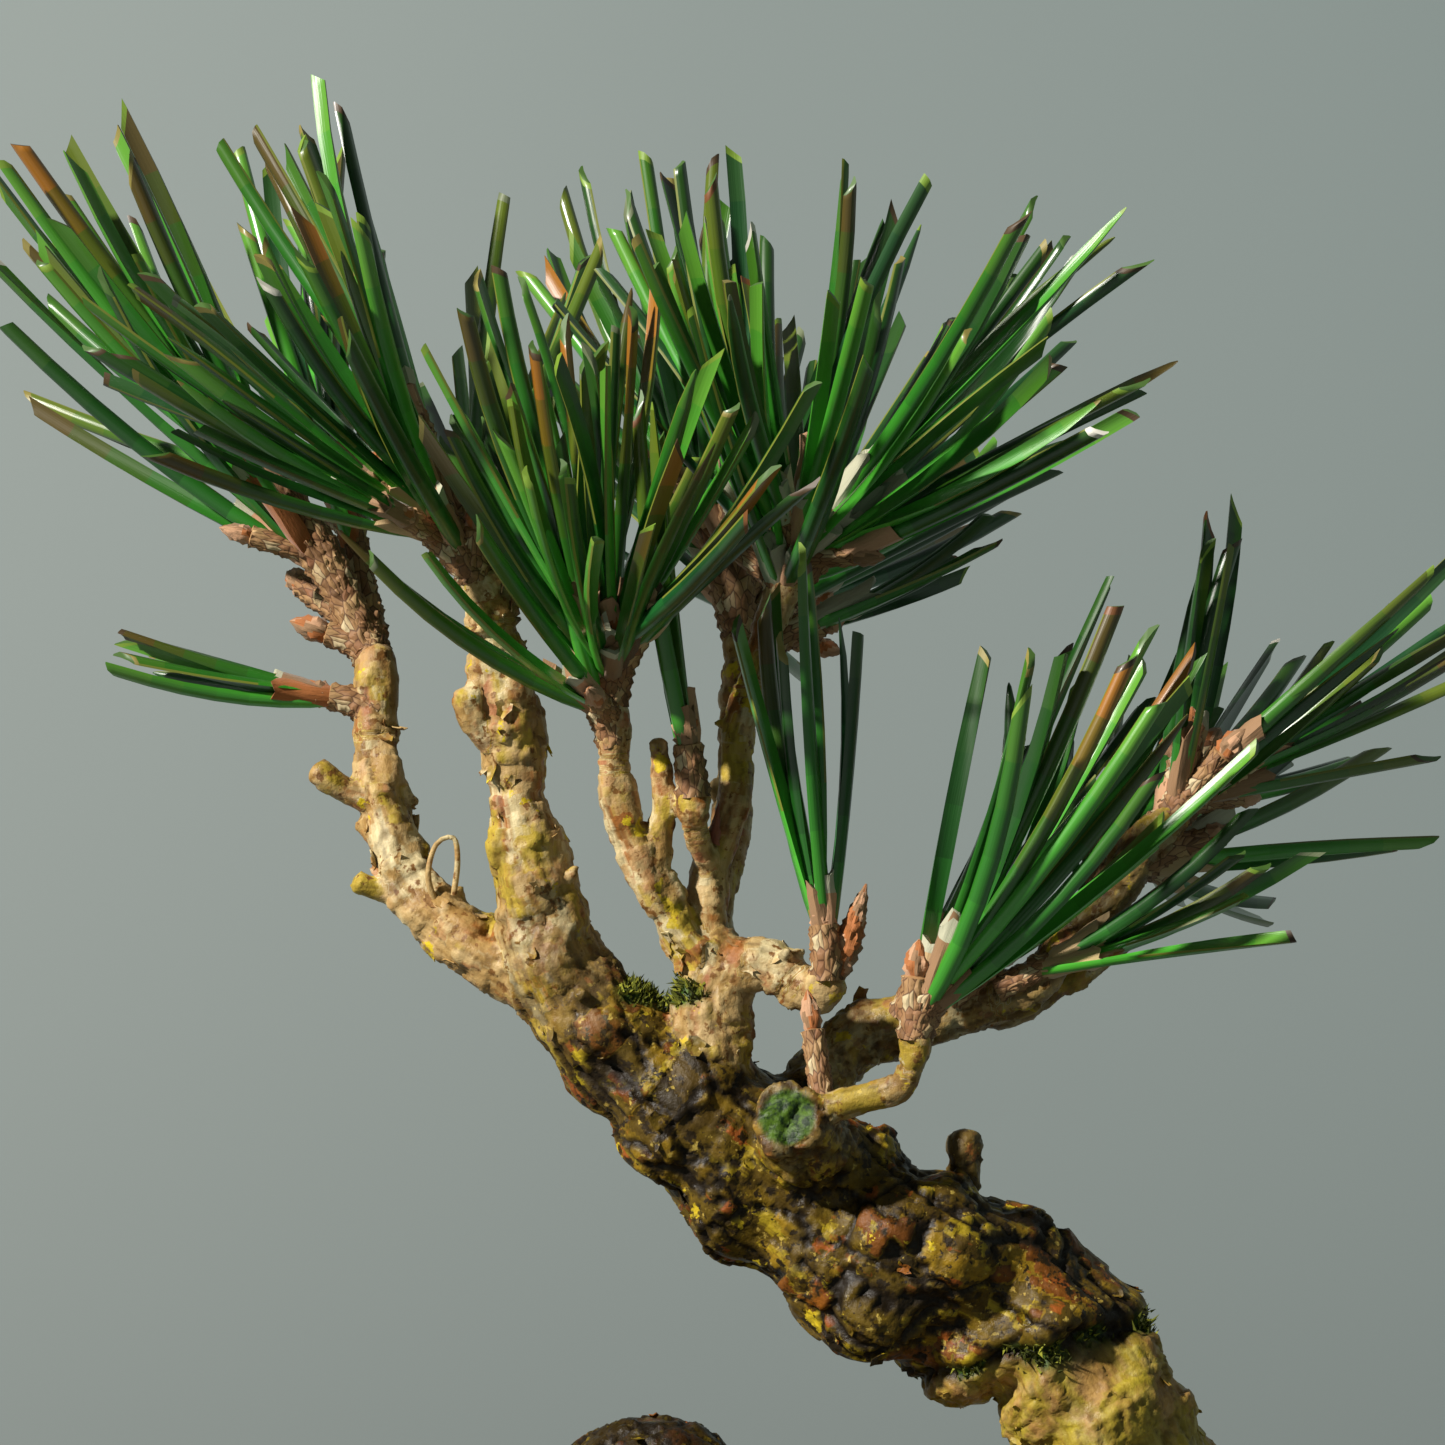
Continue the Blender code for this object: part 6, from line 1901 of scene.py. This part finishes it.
def spikes(pile, feet, headings, heights, rng, tones):
    """Three-sided spikes: three foot corners round each foot and a tip at foot + heading x height."""
    count = len(feet)
    side = units(np.cross(headings, (0.3, 0.8, 0.52)))
    other = np.cross(headings, side)
    wide = 0.14 * heights[:, None] + 0.05
    turns = rng.uniform(0.0, 2 * math.pi, count)[:, None]
    corners = []
    for k in range(3):
        turned = turns + k * THIRD_OF_A_TURN
        corners.append(feet + wide * (side * np.cos(turned) + other * np.sin(turned)))
    bent = headings * heights[:, None] + 0.25 * heights[:, None] * rng.normal(size=(count, 3))
    points = np.stack([*corners, feet + bent], axis=1)
    triangles = (np.arange(count) * 4)[:, None, None] + SPIKE
    slots = np.repeat(rng.integers(0, tones, count), len(SPIKE))
    pile.add(points, np.empty((0, 4)), triangles, triangle_slots=slots)


moss_rng = np.random.default_rng(515)
mossy = tufted ** 2
rooted = moss_rng.choice(len(bark_points), MOSS_BLADES, p=mossy / mossy.sum())
upward = bark_normals[rooted] + (0.0, 0.0, 0.5) + 0.35 * moss_rng.normal(size=(MOSS_BLADES, 3))
moss_pile = Pile()
feet = bark_points[rooted] + 0.2 * moss_rng.normal(size=(MOSS_BLADES, 3))
spikes(moss_pile, feet, units(upward), moss_rng.uniform(0.25, 0.8, MOSS_BLADES), moss_rng,
       len(MOSS_TONES))
moss_skins = [moss_leaf("moss_leaf_%d" % (k + 1), code) for k, code in enumerate(MOSS_TONES)]
moss = moss_pile.piece("bark_moss", moss_skins, 60.0)
print(MOSS_BLADES, "moss blades on the bark")

# %% [markdown]
# One strip of bark has peeled away from the outer bough and stands out as a thin loop. It
# is a closed tube along a curve, with the same plate number on each point, so that it is
# coloured as one plate of bark.

# %% Curled strip
CURLED_STRIP = [(-18.2, 1.0, 105.4, 0.3), (-18.9, 0.4, 108.0, 0.24), (-18.3, 0.2, 110.4, 0.2),
                (-17.0, 0.3, 110.9, 0.2), (-16.7, 0.5, 109.2, 0.22), (-17.0, 0.9, 106.6, 0.24)]

strip_pile = Pile()
closed_tube(strip_pile, smooth_rows(CURLED_STRIP, 0.4), 8)
strip = strip_pile.piece("curled_strip", [bark], 60.0)
for label in kept_numbers:
    store(strip, label, np.full(len(strip.data.vertices), 0.5 if label == "plate" else 0.0))
store(strip, "straight", read_points(strip.data) / MM)
for made in (flakes, moss, strip):
    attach(made, "root")
print("strip of", len(strip.data.vertices), "points")


# %% [markdown]
# The pot is out of the photograph's frame, so it is the plainest sort: unglazed brown
# stoneware, pressed in a mould, with a broad lip and two drain holes. Its profile is
# carried round a rectangle with round corners, and cutting every corner of the profile
# twice rounds its edges as clay is rounded by a damp sponge.

# %% Pot
POT_LENGTH, POT_DEPTH, POT_HEIGHT, POT_CORNER = 84.0, 66.0, 34.5, 13.0
POT_FLOOR, DRAIN_RADIUS, DRAIN_SPACING = 4.0, 4.0, 36.0
POT_PROFILE = [(8.0, 0.0), (7.0, 1.0), (3.4, 28.0), (0.0, 29.2), (0.0, 33.6), (0.9, POT_HEIGHT),
               (5.4, POT_HEIGHT), (6.2, 33.6), (10.6, POT_FLOOR)]
CORNER_STEPS = 18
SIDE_STEPS = 12
# About how long each stretch of the profile is before its corners are cut.
PROFILE_STEP = 3.0
DRILL_SIDES = 40


def rectangle_round(inset):
    """A rectangle with round corners, drawn in by an inset: arcs joined by even steps."""
    radius = max(POT_CORNER - inset, 1.0)
    half_x, half_y = POT_LENGTH / 2 - inset - radius, POT_DEPTH / 2 - inset - radius
    corners = []
    for turn, sx, sy in ((0, 1, 1), (90, -1, 1), (180, -1, -1), (270, 1, -1)):
        angle = np.radians(turn + np.linspace(0.0, 90.0, CORNER_STEPS))
        corners.append(np.column_stack([sx * half_x + radius * np.cos(angle),
                                        sy * half_y + radius * np.sin(angle)]))
    outline = []
    for arc, following in zip(corners, corners[1:] + corners[:1]):
        share = np.linspace(0.0, 1.0, SIDE_STEPS + 2)[1:-1, None]
        outline += [arc, arc[-1] * (1 - share) + following[0] * share]
    return np.vstack(outline)


def cut_corners(rows, times):
    """Chaikin's rule, with tighter corners: each stretch gives the points at 0.22 and 0.78 of it."""
    rows = np.asarray(rows, float)
    for _ in range(times):
        early = 0.78 * rows[:-1] + 0.22 * rows[1:]
        late = 0.22 * rows[:-1] + 0.78 * rows[1:]
        inner = np.stack([early, late], axis=1).reshape(-1, rows.shape[1])
        rows = np.vstack([rows[:1], inner, rows[-1:]])
    return rows


def level_ring(outline, height):
    """An outline's points at one height."""
    return np.column_stack([outline, np.full(len(outline), height)])


def ringed_block(rings):
    """Points, quads and end fans of a closed body from rings of (x, y, z)."""
    points = np.vstack([rings.reshape(-1, 3), [rings[0].mean(0)], [rings[-1].mean(0)]])
    return points, *capped_tubes(*rings.shape[:2])


print("the pot's outline has", len(rectangle_round(0.0)), "points")


# %% Shape of the pot
stations = []
for (inset, height), (next_inset, next_height) in zip(POT_PROFILE[:-1], POT_PROFILE[1:]):
    length = math.hypot(next_inset - inset, next_height - height)
    pieces = max(1, round(length / PROFILE_STEP))
    share = np.arange(pieces) / pieces
    stations += zip(inset + (next_inset - inset) * share, height + (next_height - height) * share)
stations.append(POT_PROFILE[-1])
pot_rows = cut_corners([(20.0, 0.0), *stations, (14.0, POT_FLOOR), (24.0, POT_FLOOR)], 2)
pot_rings = np.array([level_ring(rectangle_round(inset), height) for inset, height in pot_rows])
# The walls of a pressed pot are never quite even, here by less than 0.2 mm.
hand = (rough_noise(pot_rings.reshape(-1, 3) / 16.0, 91, 3) - 0.5).reshape(pot_rings.shape[:2])
pot_rings[..., :2] -= units(pot_rings[..., :2]) * (0.35 * np.abs(hand))[..., None]
pot_points, pot_quads, pot_lids = ringed_block(pot_rings)
print("pot of", len(pot_rings), "rings")


# %% Stoneware
def stoneware():
    """Unglazed stoneware: a sandy, iron-speckled brown body, paler where the sponge wiped it."""
    made, tree, shader = finish_named("unglazed_brown_stoneware", Specular_IOR_Level=0.35)
    spot = add(tree, "TexCoord").outputs["Object"]
    cloud = add(tree, "TexNoise", {0: spot, "Scale": PER_MM / 14.0, "Detail": 5.0, "Roughness": 0.6})
    body = add(tree, "ValToRGB", {0: cloud.outputs[0]}, stops=[
        (0.3, "#5c3a2c"), (0.5, "#6f4b3a"), (0.68, "#80594a")])
    sand = add(tree, "TexNoise", {0: spot, "Scale": PER_MM / 0.45, "Detail": 2.0})
    pale = add(tree, "MapRange", {0: sand.outputs[0], 1: 0.6, 2: 0.7})
    specks = add(tree, "TexVoronoi", {0: spot, "Scale": PER_MM / 2.2})
    iron = add(tree, "MapRange", {0: specks.outputs["Distance"], 1: 0.12, 2: 0.07})
    place = add(tree, "SeparateXYZ", {0: spot})
    rise = add(tree, "MapRange", {0: place.outputs["Z"], 1: 0.0075, 2: 0.0})
    bloom = add(tree, "TexNoise", {0: spot, "Scale": PER_MM / 5.0, "Detail": 6.0, "Roughness": 0.7})
    crust = add(tree, "Math", {0: rise.outputs[0], 1: bloom.outputs[0]}, operation="MULTIPLY")
    crust = add(tree, "MapRange", {0: crust.outputs[0], 1: 0.28, 2: 0.5, 4: 0.7})
    body = layered(tree, body.outputs[0], [(pale.outputs[0], "#9a7864"), (iron.outputs[0], "#2c1c17"),
                                           (crust.outputs[0], "#b8a898")])
    tree.links.new(body, shader.inputs["Base Color"])
    dull = add(tree, "MapRange", {0: cloud.outputs[0], 3: 0.62, 4: 0.86})
    tree.links.new(dull.outputs[0], shader.inputs["Roughness"])
    roughen(tree, shader, spot, PER_MM / 0.7, 4.0, 0.7, 0.7, 0.18 * MM)
    return made


pot = mesh_piece("clay_pot", pot_points, pot_quads, pot_lids, materials=[stoneware()],
                 smooth_angle=40.0)
print("finish of the pot:", pot.data.materials[0].name)

# %% Drain holes
drills = bpy.data.collections.new("drills")
bpy.context.scene.collection.children.link(drills)
turn = even_angles(DRILL_SIDES)
for x in (-DRAIN_SPACING / 2, DRAIN_SPACING / 2):
    circle = np.column_stack([x + DRAIN_RADIUS * np.cos(turn), DRAIN_RADIUS * np.sin(turn)])
    drill_rings = np.array([level_ring(circle, height) for height in (-POT_FLOOR, 2 * POT_FLOOR)])
    drill = mesh_piece("drill", *ringed_block(drill_rings))
    bpy.context.scene.collection.objects.unlink(drill)
    drills.objects.link(drill)
cut = pot.modifiers.new("drains", "BOOLEAN")
cut.operand_type, cut.collection = "COLLECTION", drills
cut.solver, cut.operation = "EXACT", "DIFFERENCE"
drilled = bpy.data.meshes.new_from_object(pot.evaluated_get(bpy.context.evaluated_depsgraph_get()))
pot.modifiers.clear()
pot.data = drilled
for drill in list(drills.objects):
    bpy.data.objects.remove(drill, do_unlink=True)
bpy.data.collections.remove(drills)
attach(pot, "root")
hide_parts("pot")
print("pot faces:", len(pot.data.polygons))


# %% [markdown]
# Bonsai soil is fired clay, sieved to grains of two or three millimetres. One bed fills
# the pot, and about 800 loose grains lie on it. A grain is a block of 24 faces, rounded
# and then knocked out of shape by noise, each with its own size, turn and tone.
# Moss cushions grow where the trunk's foot keeps the soil damp.

# %% Soil bed
SOIL_TOP = 31.7
# The bed's side ends at the first height, and its top, under the grains, is the second.
BED_RIM, BED_TOP = 31.0, 31.1
SOIL_DIP = 1.5
MOUND_SPACING = 7.8
MOUND_STRETCH = (0.9, 1.5)
SOIL_WAVES = 5
SOIL_SEED = 6
LEVEL_TO, FULL_DIP_FROM = 13.5, 17.5
TRUNK_MIDDLE_X = -3.0


def wall_inset(height):
    """How far the inner wall stands in at a height, plus the gap that keeps the soil clear."""
    (top_inset, top_height), (floor_inset, floor_height) = POT_PROFILE[-2:]
    slope = (floor_inset - top_inset) / (top_height - floor_height)
    return top_inset + (top_height - height) * slope + 1.3 * GAP


def soil_dip(x, y):
    """The source's waves over arrays of places: dip = 0.5 - mean of cos(2 pi run / length + phase)."""
    rng = np.random.default_rng(SOIL_SEED)
    total = 0.0
    for _ in range(SOIL_WAVES):
        heading, phase = rng.uniform(0.0, 2 * math.pi, 2)
        length = MOUND_SPACING * rng.uniform(*MOUND_STRETCH)
        along = x * math.cos(heading) + y * math.sin(heading)
        total = total + np.cos(2 * math.pi * along / length + phase)
    rough = np.interp(np.hypot(x - TRUNK_MIDDLE_X, y), (LEVEL_TO, FULL_DIP_FROM), (0.0, 1.0))
    return SOIL_DIP * rough * np.clip(0.5 - total / SOIL_WAVES, 0.0, 1.0)


# The bed's rings as a height and a share of the pot's inside: floor, side and top.
levels = [(POT_FLOOR + GAP, 0.3), (POT_FLOOR + GAP, 1.0)]
levels += [(height, 1.0) for height in (12.0, 20.0, 28.0, BED_RIM)]
levels += [(BED_TOP, hundredths / 100) for hundredths in range(95, 0, -10)]
bed_rings = np.array([level_ring(rectangle_round(wall_inset(height)) * share, height)
                      for height, share in levels])
top = bed_rings[..., 2] == BED_TOP
bed_rings[..., 2] -= top * (soil_dip(bed_rings[..., 0], bed_rings[..., 1]) - 0.1)
bed_points, bed_quads, bed_lids = ringed_block(bed_rings)
print("bed of", len(levels), "rings")

# %% Fired clay
FIRED = {"tan": "#9a7446", "ochre": "#a98a52", "brown": "#6e4c2e", "pale": "#b7a07a", "dark": "#41362b"}


def fired_clay(name, code):
    """Soft fired clay of one tone: chalky, porous and darker where it holds water."""
    made, tree, shader = finish_named(name, Specular_IOR_Level=0.25, Roughness=0.92)
    spot = add(tree, "TexCoord").outputs["Object"]
    damp = add(tree, "TexNoise", {0: spot, "Scale": PER_MM / 2.5, "Detail": 4.0})
    tone = add(tree, "MapRange", {0: damp.outputs[0], 1: 0.35, 2: 0.65, 3: 0.62, 4: 1.0})
    shade = add(tree, "MixRGB", {0: 1.0, 1: code, 2: tone.outputs[0]}, blend_type="MULTIPLY")
    tree.links.new(shade.outputs[0], shader.inputs["Base Color"])
    roughen(tree, shader, spot, PER_MM / 0.35, 3.0, 0.7, 0.8, 0.2 * MM)
    return made


clays = [fired_clay("fired_clay_grain_" + kind, code) for kind, code in FIRED.items()]
bed = mesh_piece("soil_bed", bed_points, bed_quads, bed_lids,
                 materials=[clays[list(FIRED).index("brown")]], smooth_angle=60.0)
print(len(clays), "tones of fired clay")


# %% A grain
def small_block():
    """A block's 26 outer lattice points, drawn towards a ball, and its 24 quads."""
    faces, corners = [], []
    flat = np.array([(-1, -1), (1, -1), (1, 1), (-1, 1)]) / 2
    for axis in range(3):
        for sign in (-1.0, 1.0):
            for a in (-0.5, 0.5):
                for b in (-0.5, 0.5):
                    quad = np.zeros((4, 3))
                    quad[:, axis] = sign
                    quad[:, (axis + 1) % 3] = a + flat[:, 0]
                    quad[:, (axis + 2) % 3] = b + flat[:, 1]
                    corners.append(quad if sign > 0 else quad[::-1])
    corners = np.array(corners).reshape(-1, 3)
    points, index = np.unique(corners, axis=0, return_inverse=True)
    points = points * (1 - 0.72 * (1 - 1 / lengths_of(points)))
    return points, index.reshape(-1, 4)


def turned_at_random(rng, count):
    """Random turns as 3 x 3 arrays: from unit quaternions of four normal numbers."""
    w, x, y, z = (rng.normal(size=(count, 4)) @ np.eye(4)).T
    size = np.sqrt(w * w + x * x + y * y + z * z)
    w, x, y, z = w / size, x / size, y / size, z / size
    turns = np.stack([1 - 2 * (y * y + z * z), 2 * (x * y - z * w), 2 * (x * z + y * w),
                      2 * (x * y + z * w), 1 - 2 * (x * x + z * z), 2 * (y * z - x * w),
                      2 * (x * z - y * w), 2 * (y * z + x * w), 1 - 2 * (x * x + y * y)], axis=1)
    return turns.reshape(-1, 3, 3)


def scatter_blocks(pile, centres, sizes, rng, slots, squash=(0.75, 1.0), rough=0.2):
    """The small block at each centre: size x turn x (block + noise), with a slot each."""
    block, faces = small_block()
    count = len(centres)
    shaped = block[None] * (1 + rough * rng.normal(size=(count, len(block), 1)))
    shaped = shaped * rng.uniform(*squash, (count, 1, 3))
    shaped = np.einsum("nij,nkj->nki", turned_at_random(rng, count), shaped)
    points = centres[:, None] + shaped * np.asarray(sizes)[:, None, None]
    quads = (np.arange(count) * len(block))[:, None, None] + faces[None]
    pile.add(points, quads, quad_slots=np.repeat(slots, len(faces)))


print("a grain has", len(small_block()[1]), "quads")


# %% Grains
GRAIN_SIZE = (0.8, 1.6)
GRAIN_SPACING = 2.05
GRAIN_STRAY = 0.9
# Half the length and depth of the field of grains, and their distance from the wall.
FIELD_X, FIELD_Y = 36.0, 27.0
GRAIN_INSET = 1.1
GRAIN_LEVEL = 31.2

soil_rng = np.random.default_rng(12)
spots = np.stack(np.meshgrid(np.arange(-FIELD_X, FIELD_X, GRAIN_SPACING),
                             np.arange(-FIELD_Y, FIELD_Y, GRAIN_SPACING), indexing="ij"),
                 axis=-1).reshape(-1, 2)
spots = spots + soil_rng.uniform(-GRAIN_STRAY, GRAIN_STRAY, (len(spots), 2))
edge = rectangle_round(wall_inset(SOIL_TOP) + GRAIN_INSET)
corner = max(POT_CORNER - wall_inset(SOIL_TOP) - GRAIN_INSET, 1.0)
beyond = np.maximum(np.abs(spots) - (edge.max(0) - corner), 0.0)
spots = spots[(beyond ** 2).sum(1) < corner ** 2]
sizes = soil_rng.uniform(*GRAIN_SIZE, len(spots))
rise = GRAIN_LEVEL + 0.15 * sizes + soil_rng.uniform(-0.2, 0.3, len(spots)) - soil_dip(*spots.T)
grain_pile = Pile()
scatter_blocks(grain_pile, np.column_stack([spots, rise]), sizes, soil_rng,
               soil_rng.choice(5, len(spots), p=[0.32, 0.22, 0.22, 0.12, 0.12]))
grains = grain_pile.piece("soil_grains", clays, 35.0)
print(len(spots), "grains")

# %% Moss on the soil
# Spores that are tried, the nearest and the widest reach of moss round the trunk, and
# the height at which its blades stand.
MOSS_TRIES = 2600
MOSS_FROM, MOSS_REACH = 8.5, 5.5
MOSS_LEVEL = 31.9

turn = soil_rng.uniform(0.0, 2 * math.pi, MOSS_TRIES)
distance = MOSS_FROM + MOSS_REACH * soil_rng.random(MOSS_TRIES) ** 1.5
feet = np.column_stack([TRUNK_MIDDLE_X + distance * np.cos(turn), distance * np.sin(turn)])
feet = level_ring(feet, MOSS_LEVEL)
feet = feet[value_noise(feet / 4.0, 97) > 0.52]
heading = np.array([0.0, 0.0, 1.0]) + 0.3 * soil_rng.normal(size=(len(feet), 3))
cushion_pile = Pile()
spikes(cushion_pile, feet, units(heading), soil_rng.uniform(0.7, 1.7, len(feet)), soil_rng,
       len(MOSS_TONES))
cushions = cushion_pile.piece("soil_moss", moss_skins, 60.0)
for made in (bed, grains, cushions):
    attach(made, "root")
    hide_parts("soil")
print(len(feet), "moss blades on the soil")
